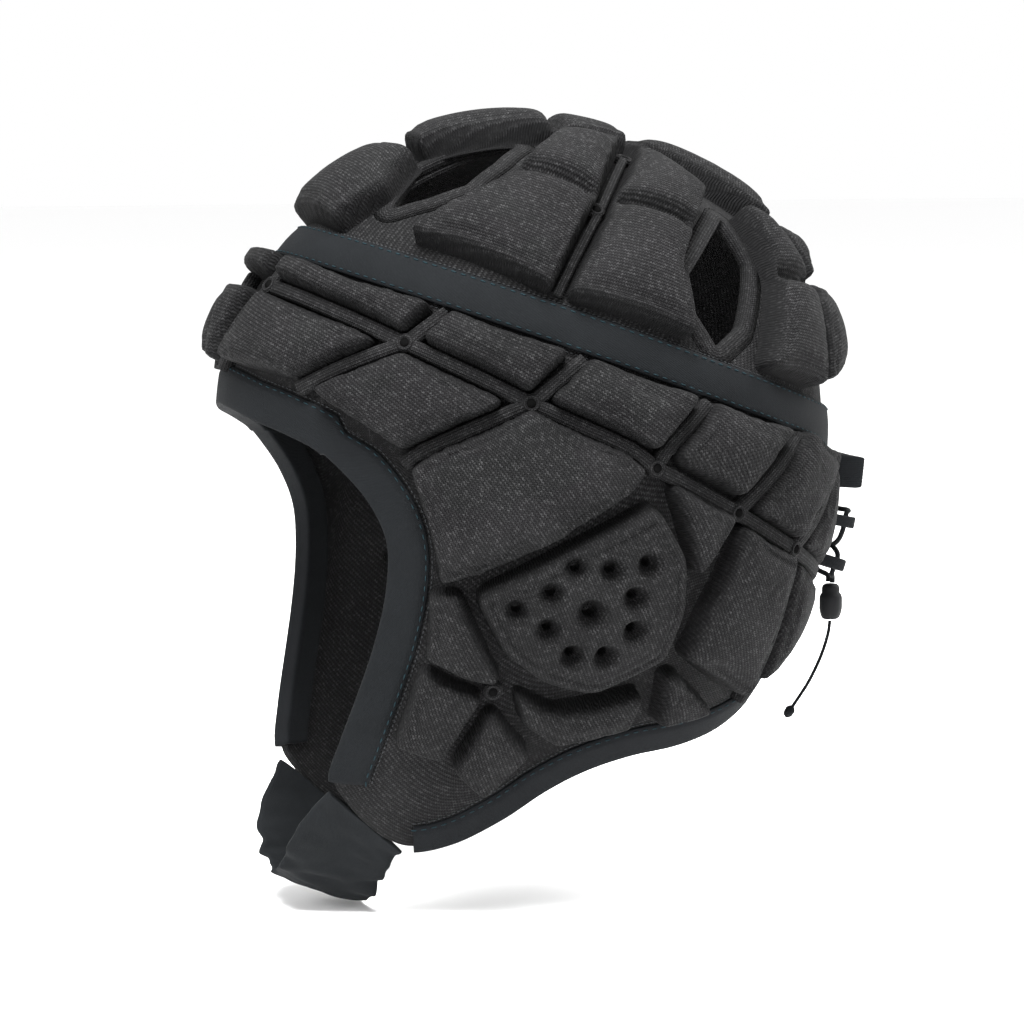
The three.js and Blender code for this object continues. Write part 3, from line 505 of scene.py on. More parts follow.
def knit_finish(name, dark, pale, glints, paint_rim_shade=False):
    finish = Finish(name)
    across, up = finish.weave()
    wale = (across / (KNIT_WALE * MM)).math("FRACT")
    slant = abs(wale - 0.5) * 0.9
    row = (up / (KNIT_ROW * MM) + slant).math("FRACT")
    loop = (row * (2 * math.pi)).math("SINE") * 0.5 + 0.5
    gap = (abs(wale - 0.5) * 2) ** 5.0
    yarn = (loop * (1 - gap * 0.7)).math("MAXIMUM", 0.0)
    glint_and_bump_noise = finish.noise(700.0, 3.0, 0.6)
    patch = finish.noise(45.0, 2.0)
    # Painted glints: pale specks in the colour where the knit loops would catch the light.
    glint = ((glint_and_bump_noise - 0.5) * 6.0).math("MAXIMUM", 0.0).math("MINIMUM", 1.0) * glints
    share = (yarn * 0.2 + glint * yarn + (patch - 0.5) * 0.2).math("MAXIMUM", 0.0).math("MINIMUM", 1.0)
    # Painted shade: the pad's colour darkens towards its sewn rim, where shade falls at its foot.
    if paint_rim_shade:
        share = share * (finish.painted_rim_shade_mask() * (1 - RIM_SHADE) + RIM_SHADE)
    finish.feed("Base Color", finish.blend(share, dark, pale))
    finish.feed("Roughness", 0.86 - share * 0.2)
    finish.feed("Specular IOR Level", MATT)
    finish.bump(yarn + glint_and_bump_noise * 0.5, 0.7, 0.0004)
    return finish.material


def tape_finish(name, dark, pale):
    finish = Finish(name)
    across, up = finish.weave()
    twill = ((across + up) / (0.7 * MM)).math("FRACT")
    ridge = (twill * (2 * math.pi)).math("SINE") * 0.5 + 0.5
    fuzz = finish.noise(1500.0, 2.0)
    wear = finish.noise(90.0, 3.0)
    share = (ridge * 0.3 + fuzz * 0.5 + (wear - 0.5) * 0.5).math("MAXIMUM", 0.0).math("MINIMUM", 1.0)
    finish.feed("Base Color", finish.blend(share, dark, pale))
    finish.feed("Roughness", 0.9 - fuzz * 0.12)
    finish.feed("Specular IOR Level", MATT)
    finish.bump(ridge + fuzz, 0.4, 0.00018)
    return finish.material


def thread_finish(name, colour):
    finish = Finish(name)
    shade = finish.noise(900.0, 1.0)
    finish.feed("Base Color", finish.blend(shade, tuple(c * 0.6 for c in colour), colour))
    finish.feed("Roughness", 0.8)
    finish.feed("Specular IOR Level", MATT)
    return finish.material


def plastic_finish(name, colour):
    finish = Finish(name)
    scuff = finish.noise(400.0, 3.0)
    finish.feed("Base Color", finish.blend(scuff, colour, tuple(c * 1.6 for c in colour)))
    finish.feed("Roughness", 0.55 + scuff * 0.2)
    finish.feed("Specular IOR Level", 0.1)
    return finish.material


KNIT = knit_finish("charcoal_knit", KNIT_DARK, KNIT_PALE, 0.55)
PAD_KNIT = knit_finish("pad_knit", KNIT_DARK, KNIT_PALE, 0.65, paint_rim_shade=True)
TAPE = tape_finish("woven_tape", (0.0015, 0.0019, 0.0024), (0.0052, 0.0062, 0.0072))
STRAP = tape_finish("elastic_strap", (0.0024, 0.0029, 0.0034), (0.008, 0.0092, 0.0103))
THREAD = thread_finish("teal_thread", (0.008, 0.02, 0.025))
PALE_THREAD = thread_finish("grey_thread", (0.03, 0.032, 0.034))
PLASTIC = plastic_finish("black_plastic", (0.004, 0.0042, 0.0046))
print("finishes:", [m.name for m in bpy.data.materials])

# %% [markdown]
# ## Camera
# The camera is made first. It looks at the wearer's left side from a little in front and above, through
# a long lens, as the photograph does.

# %% Camera at the photograph's angle
CAMERA_AROUND = math.radians(72)
CAMERA_UP = math.radians(5)
CAMERA_DISTANCE = 1300.0
PIXELS_PER_MM = 2.95
FRAME_PIXELS = 1024
CENTRE_PIXEL = (522, 430)
SENSOR = 36.0

towards = np.array([
    math.sin(CAMERA_AROUND) * math.cos(CAMERA_UP),
    -math.cos(CAMERA_AROUND) * math.cos(CAMERA_UP),
    math.sin(CAMERA_UP),
])
camera_right = np.array([math.cos(CAMERA_AROUND), math.sin(CAMERA_AROUND), 0.0])
camera_over = np.cross(towards, camera_right)
aim = (
    CENTRE
    - camera_right * (CENTRE_PIXEL[0] - FRAME_PIXELS / 2) / PIXELS_PER_MM
    - camera_over * (FRAME_PIXELS / 2 - CENTRE_PIXEL[1]) / PIXELS_PER_MM
)
eye = CENTRE + towards * CAMERA_DISTANCE
camera = bpy.data.objects.new("camera", bpy.data.cameras.new("camera"))
camera.data.sensor_width = SENSOR
camera.data.lens = SENSOR * CAMERA_DISTANCE / (FRAME_PIXELS / PIXELS_PER_MM)
camera.location = Vector(eye * MM)
camera.rotation_mode = "QUATERNION"
camera.rotation_quaternion = Vector((aim - eye) * MM).to_track_quat("-Z", "Y")
camera.data.clip_end = 20.0
scene.collection.objects.link(camera)
scene.camera = camera
print("camera at", list(camera.location), "lens", round(camera.data.lens, 1))

# %% [markdown]
# ## The free end of the lace
# Below the toggle the lace hangs as a thin tail with a knot. Nothing pulls it, so it is a cord of its
# own: a curve with a round bevel, which keeps its centre line exact. Its route is the one chosen for the
# frame.

# %% Lace tail and knot
SLIT_TOP = 15.0
SLIT_TOP_WIDTH = 5.0
SLIT_SPREAD = 0.19
SLIT_BELOW = 54.0
LEG_BELOW = 31.0
SLIT_TAPE_WIDTH = 9.0
SEAT_GAP = 0.7
TAPE_THICKNESS = 1.3
LACE_LOOP_RISE = 19.0
LACE_LOOP_WIDTH = 4.0
LACE_LOOP_SPAN = 9.0
LACE_LOOP_WALL = 1.4
LACE_RADIUS = 1.0
LACE_CROSSING = 1.5
LACE_STAND = 2.0
LOCK_STAND = 4.0
TAIL_RADIUS = 0.6
TAIL_KNOT_RADIUS = 2.0
LOCK_RADIUS = 5.0
LOCK_HEIGHT = 13.0
CORD_CLEARANCE = 0.3
LOOP_ROWS = [9.5, -4.0]
LACE_HEIGHT = LACE_LOOP_RISE - LACE_LOOP_WALL - LACE_RADIUS - CORD_CLEARANCE
LACE_PULL = LACE_LOOP_SPAN / 2 - LACE_LOOP_WALL - LACE_RADIUS - CORD_CLEARANCE
LOCK_TOP = LOOP_ROWS[-1] - LACE_LOOP_WIDTH * 1.4
TAIL_ROUTE = [
    (0, 0, 0), (0.2, -0.5, -3.5), (0.5, -1.7, -7.5), (0.8, -3.5, -12), (1, -5.7, -16.5),
    (0.9, -8.1, -21), (0.5, -10.6, -25), (0, -12.9, -28.5), (-0.5, -14.8, -31.5),
]

lock_place = surface(on_back(0, LOCK_TOP), LACE_HEIGHT + LOCK_STAND) - [0, 0, LOCK_HEIGHT / 2]
tail_start = lock_place - [0, 0, LOCK_HEIGHT / 2 + CORD_CLEARANCE]
tail_line = through(tail_start + np.array(TAIL_ROUTE), 6) * MM

tail_curve = bpy.data.curves.new("lace_tail_line", "CURVE")
tail_curve.dimensions = "3D"
tail_curve.bevel_depth = TAIL_RADIUS * MM
tail_curve.bevel_resolution = 3
tail_curve.use_fill_caps = True
spline = tail_curve.splines.new("POLY")
spline.points.add(len(tail_line) - 1)
for spline_point, place in zip(spline.points, tail_line):
    spline_point.co = (*place, 1.0)
tail = bpy.data.objects.new("lace_tail_end", tail_curve)
scene.collection.objects.link(tail)
tail.data.materials.append(TAPE)


def knot_body(middle, radius, along):
    """An overhand knot's outline: a lumpy ball, longer along the cord."""
    rings = []
    side = unit(np.cross(along, [0.0, 1.0, 0.0]))
    third = np.cross(along, side)
    turn = np.linspace(0, 2 * np.pi, 16, endpoint=False)
    for t in np.linspace(0.02, 0.98, 11):
        reach = radius * math.sin(math.pi * t) ** 0.7
        lumps = 1 + 0.14 * np.sin(2 * turn + 5 * t)
        ring = np.cos(turn)[:, None] * side + np.sin(turn)[:, None] * third
        rings.append(middle + along * radius * 1.25 * (1 - 2 * t) + reach * lumps[:, None] * ring)
    return ring_faces(rings)


tail_end_way = unit(tail_line[-2] - tail_line[-1])
knot = joined("lace_knot", [knot_body(tail_line[-1] / MM, TAIL_KNOT_RADIUS, tail_end_way)], TAPE)
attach(tail, "root")
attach(knot, "root")
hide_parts("lace_tail")

# %% [markdown]
# ## Where the pads lie
# The pads are laid out on the form as outlines between the sewn channels. The tables follow the ones of
# the CAD source: directions around and down for the sides, and to the side and behind for the pads over
# the midline. Only the crown's pads reach a little further here, down to the tape's edge.

# %% Seams and outlines
PAD_SEAT_GAP = 0.6
PAD_HEIGHT = 9.6
BACK_PAD_HEIGHT = 5.2
REAR_PAD_HEIGHT = 8.0
CHANNEL_WIDTH = 6.5
NARROW_CHANNEL_WIDTH = 3.4
TAPE_WIDTH = 13.0
BELOW_TAPE = TAPE_WIDTH / 2 + 1.8 - CHANNEL_WIDTH / 2
AT_TAPE = [11.5, 54.5, 81.5, 107.5, 134.5, 158, 168.5]
SEAM = {
    "brow": at(10.4, 80.5), "temple": at(49.5, 82.9), "side": at(75.1, 86), "ear": at(100.1, 88.4),
    "rear": at(119, 87.8), "corner": at(137.6, 87.6), "back": at(168.5, 88), "hem0": at(1.5, 97.2),
    "hem1": at(30.5, 96.7), "hem2": at(56.6, 103.0), "cheek": at(90.3, 120.8), "ridge": at(74.5, 42),
}


def under_tape(first, last):
    return [beside_tape(around, BELOW_TAPE) for around in (first, (first + last) / 2, last)]


def pad(corners, channel=CHANNEL_WIDTH, crease=None, lay=0.0, height=PAD_HEIGHT):
    return {"corners": corners, "channel": channel, "crease": crease, "lay": lay, "height": height}


NARROW = NARROW_CHANNEL_WIDTH
SIDE_PADS = {
    "pad_brow_side": pad([*under_tape(AT_TAPE[0], AT_TAPE[1]), SEAM["temple"], SEAM["brow"]], lay=8),
    "pad_temple_upper": pad([*under_tape(AT_TAPE[1], AT_TAPE[2]), SEAM["side"], SEAM["temple"]], lay=8),
    "pad_side_upper": pad([*under_tape(AT_TAPE[2], AT_TAPE[3]), SEAM["ear"], SEAM["side"]], lay=14),
    "pad_rear_side_upper": pad([*under_tape(AT_TAPE[3], AT_TAPE[4]), SEAM["rear"], SEAM["ear"]], lay=24),
    "pad_rear_upper": pad([*under_tape(AT_TAPE[4], AT_TAPE[5]), SEAM["corner"], SEAM["rear"]], lay=30,
                          height=REAR_PAD_HEIGHT),
    "pad_back_upper": pad([*under_tape(AT_TAPE[5], AT_TAPE[6]), SEAM["back"], SEAM["corner"]], lay=20,
                          height=BACK_PAD_HEIGHT),
    "pad_brow_lower": pad([SEAM["brow"], SEAM["temple"], SEAM["hem1"], SEAM["hem0"]], lay=10),
    "pad_temple_lower": pad([SEAM["temple"], SEAM["side"], SEAM["hem2"], SEAM["hem1"]], lay=18),
    "pad_side_lower": pad(
        [SEAM["side"], SEAM["ear"], at(97.5, 93), at(87.5, 103), at(78, 110), at(69, 114.8), SEAM["hem2"]],
        lay=24,
    ),
    "pad_ear_wedge": pad([SEAM["ear"], SEAM["rear"], at(115.2, 98.4)], channel=NARROW, lay=30),
    "pad_rear_side_lower": pad(
        [SEAM["rear"], SEAM["corner"], at(144.6, 104.9), at(120, 105.6), at(118.5, 99)], lay=34,
    ),
    "pad_back_lower": pad(
        [SEAM["corner"], SEAM["back"], at(166.5, 97), at(158, 98.8), at(147.5, 103.4)], lay=28,
        height=BACK_PAD_HEIGHT,
    ),
    "pad_cheek": pad(
        [at(66.6, 114.9), at(73.5, 112.4), at(80, 115.2), at(86, 117.2), at(91, 118.4), at(89.8, 120.4),
         at(83.6, 121.8), at(72.5, 122.6)], channel=NARROW, lay=30,
    ),
    "pad_jaw_front": pad(
        [at(71.8, 122.8), at(84, 121.9), at(90, 121.2), at(92.2, 131.8), at(76.4, 134.4)],
        channel=NARROW, lay=34,
    ),
    "pad_jaw_rear": pad(
        [at(90.6, 121.4), at(100, 122.8), at(108.5, 123.4), at(107.6, 133), at(92.8, 132.2)],
        channel=NARROW, lay=30,
    ),
    "pad_under_ear": pad(
        [at(90.8, 118.6), at(104, 117.6), at(119.4, 109), at(123, 114.4), at(111, 121.8), at(100, 122.2)],
        channel=NARROW, lay=24,
    ),
    "pad_behind_ear": pad(
        [at(119.2, 107.4), at(122.6, 105.9), at(139.4, 106.4), at(127.4, 113.2)], channel=NARROW, lay=30,
    ),
    "pad_crown_side_front": pad(
        [at(35, 65), at(46.5, 43), at(36, 22), at(76.5, 13.5), SEAM["ridge"], at(72.5, 66.6)],
        crease=(at(40, 42), at(80, 42)),
    ),
    "pad_crown_side_rear": pad(
        [at(77.5, 13.5), at(117, 27.5), at(102.7, 41), at(99.5, 50.5), at(103.5, 66.2), at(72.5, 66.6),
         SEAM["ridge"]],
        crease=(at(68, 42.5), at(110, 41)),
    ),
    "pad_crown_corner": pad(
        [at(131, 25.5), at(151, 28.5), at(152.5, 45.5), at(142.5, 66.4), at(117.5, 66.4), at(127.5, 44.5)],
        crease=(at(122, 44.5), at(156, 45.5)),
    ),
}
MIDLINE_PADS = {
    "pad_brow_centre_upper": ([beside_tape(AT_TAPE[0], BELOW_TAPE), SEAM["brow"]], None),
    "pad_brow_centre_lower": ([SEAM["brow"], over_top(3.5, -97.8)], None),
    "pad_crown_front": ([over_top(11.5, -42.5), over_top(20.5, -53), over_top(18, -66)], None),
    "pad_crown_ridge_front": (
        [over_top(8.5, -43), over_top(11.8, -16), over_top(10.5, -0.5)], over_top(15, -16),
    ),
    "pad_crown_ridge_rear": ([over_top(10.5, -0.5), over_top(13, 30)], None),
    "pad_crown_back_upper": ([over_top(13, 30), over_top(19.6, 42)], None),
    "pad_crown_back_lower": ([over_top(19.6, 42), over_top(34.2, 60)], None),
}
MIRROR = np.array([-1.0, 1.0, 1.0])


def all_pads():
    rows = {}
    for name, row in SIDE_PADS.items():
        for suffix, side in (("left", 1.0), ("right", MIRROR)):
            crease = row["crease"] and tuple(n * side for n in row["crease"])
            lay = row["lay"] if suffix == "left" else -row["lay"]
            corners = [n * side for n in row["corners"]]
            rows[f"{name}_{suffix}"] = {**row, "corners": corners, "crease": crease, "lay": lay}
    for name, (half, crease) in MIDLINE_PADS.items():
        corners = [*half, *[n * MIRROR for n in half[::-1]]]
        rows[name] = pad(corners, crease=crease is not None and (crease, crease * MIRROR) or None)
    return rows


print(len(all_pads()), "pads")

# %% [markdown]
# ## Pads as cloth over foam
# Each pad is a pillow: a steep side that turns over a round shoulder on to a gently domed top, with a
# small fillet where the knit runs out into the sewn channel. A lattice of points inside the outline is
# joined by Delaunay triangulation, and a short table gives the height at each distance from the foot of
# the pad.

# %% Flat layout and section of a pad
PAD_PROFILE = [
    {"inside": -1.3, "rise": -0.05}, {"inside": -0.8, "rise": -0.03}, {"inside": -0.35, "rise": 0.0},
    {"inside": 0.0, "rise": 0.14}, {"inside": 0.35, "rise": 0.42}, {"inside": 0.9, "rise": 0.66},
    {"inside": 1.7, "rise": 0.82}, {"inside": 2.8, "rise": 0.92}, {"inside": 4.2, "rise": 0.98},
    {"inside": 6.0, "rise": 1.02}, {"inside": 9.0, "rise": 1.06}, {"inside": 15.0, "rise": 1.11},
]
PROFILE_IN = [row["inside"] for row in PAD_PROFILE]
PROFILE_RISE = [row["rise"] for row in PAD_PROFILE]
FOOT_RINGS = [-1.3, -0.7, -0.3, 0.05, 0.45, 1.0, 1.8, 2.7]
RING_CROWDING = 0.25
LATTICE = 1.7
OUTLINE_STEP = 1.25
PAD_CORNER = 3.2
TOP_SOFTNESS = 1.6
CHANNEL_SHARE = 0.42
CREASE_DEPTH = 0.6
CREASE_HALF_WIDTH = 2.6
PAD_UNDER = -0.7


def distance_inside(points, outline):
    """Distance of flat points from a closed outline, positive inside it."""
    a, b = outline, np.roll(outline, -1, 0)
    edge = b - a
    reach = points[:, None] - a[None]
    share = np.clip(np.sum(reach * edge, -1) / np.maximum(np.sum(edge * edge, -1), 1e-12), 0, 1)
    away = np.linalg.norm(reach - share[..., None] * edge, axis=-1).min(1)
    crosses = (a[None, :, 1] > points[:, None, 1]) != (b[None, :, 1] > points[:, None, 1])
    slope = (points[:, None, 1] - a[None, :, 1]) / np.where(edge[:, 1] == 0, 1e-12, edge[:, 1])
    left = points[:, None, 0] < a[None, :, 0] + slope * edge[None, :, 0]
    inside = np.sum(crosses & left, 1) % 2 == 1
    return np.where(inside, away, -away)


def moved_out(outline, distance):
    along = unit(np.roll(outline, -1, 0) - np.roll(outline, 1, 0))
    return outline + distance * np.stack([along[:, 1], -along[:, 0]], -1)


def lattice_inside(outline, margin, step):
    low, high = outline.min(0), outline.max(0)
    rows = []
    for k, y in enumerate(np.arange(low[1], high[1], step * math.sqrt(0.75))):
        x = np.arange(low[0] + (k % 2) * step / 2, high[0], step)
        rows.append(np.stack([x, np.full_like(x, y)], -1))
    points = np.vstack(rows)
    return points[distance_inside(points, outline) > margin]


def triangulated(points, borders, keep):
    """Delaunay triangles between flat points, with the borders as edges. keep says which triangles stay."""
    edges, start = [], 0
    for border in borders:
        count = len(border)
        edges += [(start + i, start + (i + 1) % count) for i in range(count)]
        start += count
    stacked = np.vstack([*borders, points])
    made = delaunay_2d_cdt([Vector(p) for p in stacked.tolist()], edges, [], 0, 1e-5)
    flat = np.array([tuple(p) for p in made[0]])
    faces = np.array(made[2])
    return flat, faces[keep(flat[faces].mean(1))]


def outline_edges(faces):
    """Edges used by one triangle only, in the direction of that triangle."""
    edges = np.concatenate([faces[:, [0, 1]], faces[:, [1, 2]], faces[:, [2, 0]]])
    used = {}
    for a, b in edges.tolist():
        key = (min(a, b), max(a, b))
        used[key] = None if key in used else (a, b)
    return [edge for edge in used.values() if edge]


def slab(flat, faces, top, under, uv):
    """Closed body over a flat triangulation: its top and underside points joined along every border."""
    count = len(flat)
    sides = [(a, b, b + count, a + count) for a, b in outline_edges(faces)]
    all_faces = [*faces.tolist(), *(faces[:, ::-1] + count).tolist(), *sides]
    doubled = np.vstack([uv, uv])
    corner_uv = [doubled[i] for face in all_faces for i in face]
    return np.vstack([top, under]), all_faces, corner_uv


def turned(flat, degrees):
    c, s = math.cos(math.radians(degrees)), math.sin(math.radians(degrees))
    return np.stack([c * flat[:, 0] + s * flat[:, 1], -s * flat[:, 0] + c * flat[:, 1]], -1)


def softened(flat, values, inside, width):
    """Averages heights with their neighbours on top of the pad, so that no ridge stays between slopes."""
    gaps = np.sum((flat[:, None] - flat[None]) ** 2, -1)
    weight = np.exp(-gaps / (2 * width * width))
    smooth = weight @ values / weight.sum(1)
    share = smoothstep((inside - 2.0) / 3.0)
    return values * (1 - share) + smooth * share


def mark_rim(piece, inside):
    """Stores each top and underside point's distance from the sewn rim as a second UV map, for the painted
    shade.
    """
    layer = piece.data.uv_layers.new(name="rim")
    corners = np.empty(len(piece.data.loops), np.int32)
    piece.data.loops.foreach_get("vertex_index", corners)
    distance = np.concatenate([inside, inside])[corners] * MM
    pairs = np.stack([distance, np.zeros(len(corners))], -1)
    layer.data.foreach_set("uv", pairs.astype(np.float32).ravel())


def pad_layout(row):
    middle = unit(np.sum(row["corners"], 0))
    flat_map = FlatMap(middle)
    outline = rounded(
        [flat_map.flatten(n) for n in row["corners"]], row["channel"] * CHANNEL_SHARE, PAD_CORNER,
        OUTLINE_STEP,
    )
    rings = [moved_out(outline, -ring) for ring in FOOT_RINGS]
    inner = [
        ring[distance_inside(ring, outline) > depth - RING_CROWDING]
        for ring, depth in zip(rings[4:], FOOT_RINGS[4:])
    ]
    spare = np.vstack([*rings[1:4], *inner, lattice_inside(outline, FOOT_RINGS[-1] + 0.6, LATTICE)])
    flat, faces = triangulated(spare, [rings[0]], lambda p: distance_inside(p, rings[0]) > 0)
    inside = distance_inside(flat, outline)
    rise = np.interp(inside, PROFILE_IN, PROFILE_RISE)
    rise = softened(flat, rise, inside, TOP_SOFTNESS)
    if row["crease"]:
        ends = [flat_map.flatten(n) for n in row["crease"]]
        way = unit(ends[1] - ends[0])
        off = (flat - ends[0]) @ np.array([-way[1], way[0]])
        fold = CREASE_DEPTH * np.exp(-((off / CREASE_HALF_WIDTH) ** 2)) * smoothstep(inside / 3.0)
        rise = rise * (1 - fold)
    seated = PAD_SEAT_GAP * smoothstep(inside) + rise * row["height"]
    height = np.where(inside < 0, rise * PAD_HEIGHT, seated)
    n = flat_map.lift(flat)
    return {
        "flat": flat, "faces": faces, "inside": inside, "top": surface(n, height), "out": outward(n),
        "under": surface(n, np.full(len(flat), PAD_UNDER)), "uv": turned(flat, row["lay"]),
    }


LAYOUTS = {name: pad_layout(row) for name, row in all_pads().items()}
print("pad points:", sum(len(layout["flat"]) for layout in LAYOUTS.values()))

# %% [markdown]
# ## Letting the pads settle
# Knit stretched over foam is never quite smooth. Every pad's top is handed to Blender's cloth solver at
# once: the foot of each pad is pinned where it is sewn, the cloth is cut a little too large and pressed
# from below, and it buckles into small puckers by itself. The move is limited, so the pads keep their
# size.

# %% Cloth simulation of the pad tops
CLOTH_FRAMES = 14
CLOTH_GROWTH = 0.035
CLOTH_PRESS = 1.2
LARGEST_MOVE = 0.9


def settled(layouts):
    """Displacement of every pad's top points in millimetres, from one cloth simulation."""
    names = list(layouts)
    counts = [len(layouts[name]["flat"]) for name in names]
    starts = np.concatenate([[0], np.cumsum(counts)])
    rest = np.vstack([layouts[name]["top"] for name in names])
    faces = np.vstack([layouts[name]["faces"] + start for name, start in zip(names, starts)])
    mesh = bpy.data.meshes.new("pad_tops")
    mesh.from_pydata((rest * MM).tolist(), [], faces.tolist())
    cloth_object = bpy.data.objects.new("pad_tops", mesh)
    scene.collection.objects.link(cloth_object)
    inside = np.concatenate([layouts[name]["inside"] for name in names])
    pinned = cloth_object.vertex_groups.new(name="sewn")
    pinned.add(np.flatnonzero(inside < 0.3).tolist(), 1.0, "REPLACE")
    cloth = cloth_object.modifiers.new("cloth", "CLOTH")
    cloth.settings.vertex_group_mass = "sewn"
    cloth.settings.quality = 6
    cloth.settings.mass = 0.05
    cloth.settings.tension_stiffness = 25
    cloth.settings.compression_stiffness = 25
    cloth.settings.shear_stiffness = 10
    cloth.settings.bending_stiffness = 0.35
    cloth.settings.shrink_min = -CLOTH_GROWTH
    cloth.settings.use_pressure = True
    cloth.settings.uniform_pressure_force = CLOTH_PRESS
    cloth.settings.effector_weights.gravity = 0.0
    cloth.collision_settings.use_collision = False
    cloth.point_cache.frame_start = 1
    cloth.point_cache.frame_end = CLOTH_FRAMES
    for step in range(1, CLOTH_FRAMES + 1):
        scene.frame_set(step)
    evaluated = cloth_object.evaluated_get(bpy.context.evaluated_depsgraph_get()).data
    places = np.empty(len(rest) * 3, np.float32)
    evaluated.vertices.foreach_get("co", places)
    scene.frame_set(1)
    bpy.data.objects.remove(cloth_object)
    move = places.reshape(-1, 3) / MM - rest
    size = np.linalg.norm(move, axis=1, keepdims=True)
    move = move * (LARGEST_MOVE * np.tanh(size / LARGEST_MOVE) / np.maximum(size, 1e-9))
    average, most = (round(float(value), 3) for value in (size.mean(), size.max()))
    print("cloth moved the pads by", average, "mm, at most", most)
    return {name: move[a:b] for name, a, b in zip(names, starts[:-1], starts[1:])}


moves = settled(LAYOUTS)
for name, layout in LAYOUTS.items():
    top = layout["top"] + moves.get(name, 0.0)
    body = slab(layout["flat"], layout["faces"], top, layout["under"], layout["uv"])
    made = joined(f"{name}_knit", [body], PAD_KNIT)
    mark_rim(made, layout["inside"])
    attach(made, "root")
    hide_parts(name)
print("made", len(LAYOUTS), "pads")

# %% [markdown]
# ## Strips in the channels
# Between the pads the two layers of knit are welded together, and the weld stands up as a flat strip with
# a dark groove on either side. The strips run straight from crossing to crossing, so a small section with
# a flat top and round shoulders is swept along the shortest way over the form.

# %% Channel strips
STRIP_HALF = 2.35
STRIP_RISE = 4.6
LOW_STRIP_HALF = 1.5
LOW_STRIP_RISE = 2.4
STRIP_SECTION = [
    (-1.0, -0.6), (-1.0, 0.72), (-0.82, 0.93), (-0.4, 1.0), (0.4, 1.0), (0.82, 0.93), (1.0, 0.72),
    (1.0, -0.6),
]
STRIP_TABLE = [
    ("brow", "temple"), ("temple", "side"), ("side", "ear"), ("ear", "rear"), ("rear", "corner"),
    ("corner", "back"), ("temple", "hem1"), ("side", "hem2"), ("brow", "hem0"),
    ("brow", "tape_0"), ("temple", "tape_1"), ("side", "tape_2"), ("ear", "tape_3"), ("rear", "tape_4"),
    ("corner", "tape_5"), ("back", "tape_6"), ("corner", "nape"),
    ("ridge_low", "ridge"), ("ridge", "ridge_top"),
]
STRIP_ENDS = {
    **SEAM, **{f"tape_{i}": beside_tape(around, 8.8) for i, around in enumerate(AT_TAPE)},
    "nape": at(146.5, 104.5), "ridge_low": beside_tape(72.5, -8.8),
    "ridge_top": at(77, 14),
}


def strip(first, last, low):
    half, top = (LOW_STRIP_HALF, LOW_STRIP_RISE) if low else (STRIP_HALF, STRIP_RISE)
    share = np.linspace(0, 1, 26)[:, None]
    n = unit(first * (1 - share) + last * share)
    side = unit(np.cross(np.gradient(form(n), axis=0), outward(n)))
    rings = []
    for reach, rise in STRIP_SECTION:
        height = rise * top if rise > 0 else rise
        rings.append(surface(slide(n, side * reach * half), np.full(len(n), height)))
    return ring_faces(np.array(rings).transpose(1, 0, 2))


strips = joined("channel_strips", [
    strip(STRIP_ENDS[a] * side, STRIP_ENDS[b] * side, "ridge" in a) for a, b in STRIP_TABLE
    for side in (1.0, MIRROR)], KNIT)
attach(strips, "root")
print("channel strips:", len(strips.data.polygons), "faces")

# %% [markdown]
# ## Ear panels
# The panel over each ear is a thinner cushion with sound holes. Each hole is a small funnel: the cloth
# dips towards it and turns in through the foam. The holes are borders of the same triangulation, so they
# go right through, and the larger one in the middle is ringed by the others.

# %% Ear panels with sound holes
EAR_OUTLINE = [
    at(74.5, 112.5), at(88, 101.6), at(101, 91.2), at(111.5, 95), at(116.5, 100),
    at(119, 106), at(109.5, 114.6), at(98, 117), at(86.5, 116.8),
]
EAR_HOLES = [
    at(91.4, 103.3), at(97.5, 101.3), at(103.5, 98.5), at(89.2, 107.2), at(103.9, 102.4),
    at(84.7, 111), at(91.8, 110.8), at(107.4, 105.5), at(99, 111.7), at(105.1, 109.6),
]
EAR_CENTRE = at(97.8, 106.5)
EAR_SEAM_WIDTH = 3.6
EAR_CORNER = 6.0
EAR_STEP = 1.2
HOLE_RINGS = (0.35, 0.8, 1.4, 2.1)
EAR_HOLE_RADIUS = 1.7
EAR_CENTRE_RADIUS = 2.7
EAR_GROOVE_IN = 5.0
EAR_GROOVE_DEPTH = 1.3
EAR_GROOVE_WIDTH = 0.75
EAR_DIP = 1.1
EAR_DIP_WIDTH = 3.0
FUNNEL_WIDTH = 2.2
FUNNEL_DEPTH = 5.0
LIP_OUT = 3.1
LIP_WIDTH = 0.9
LIP_RISE = 0.8


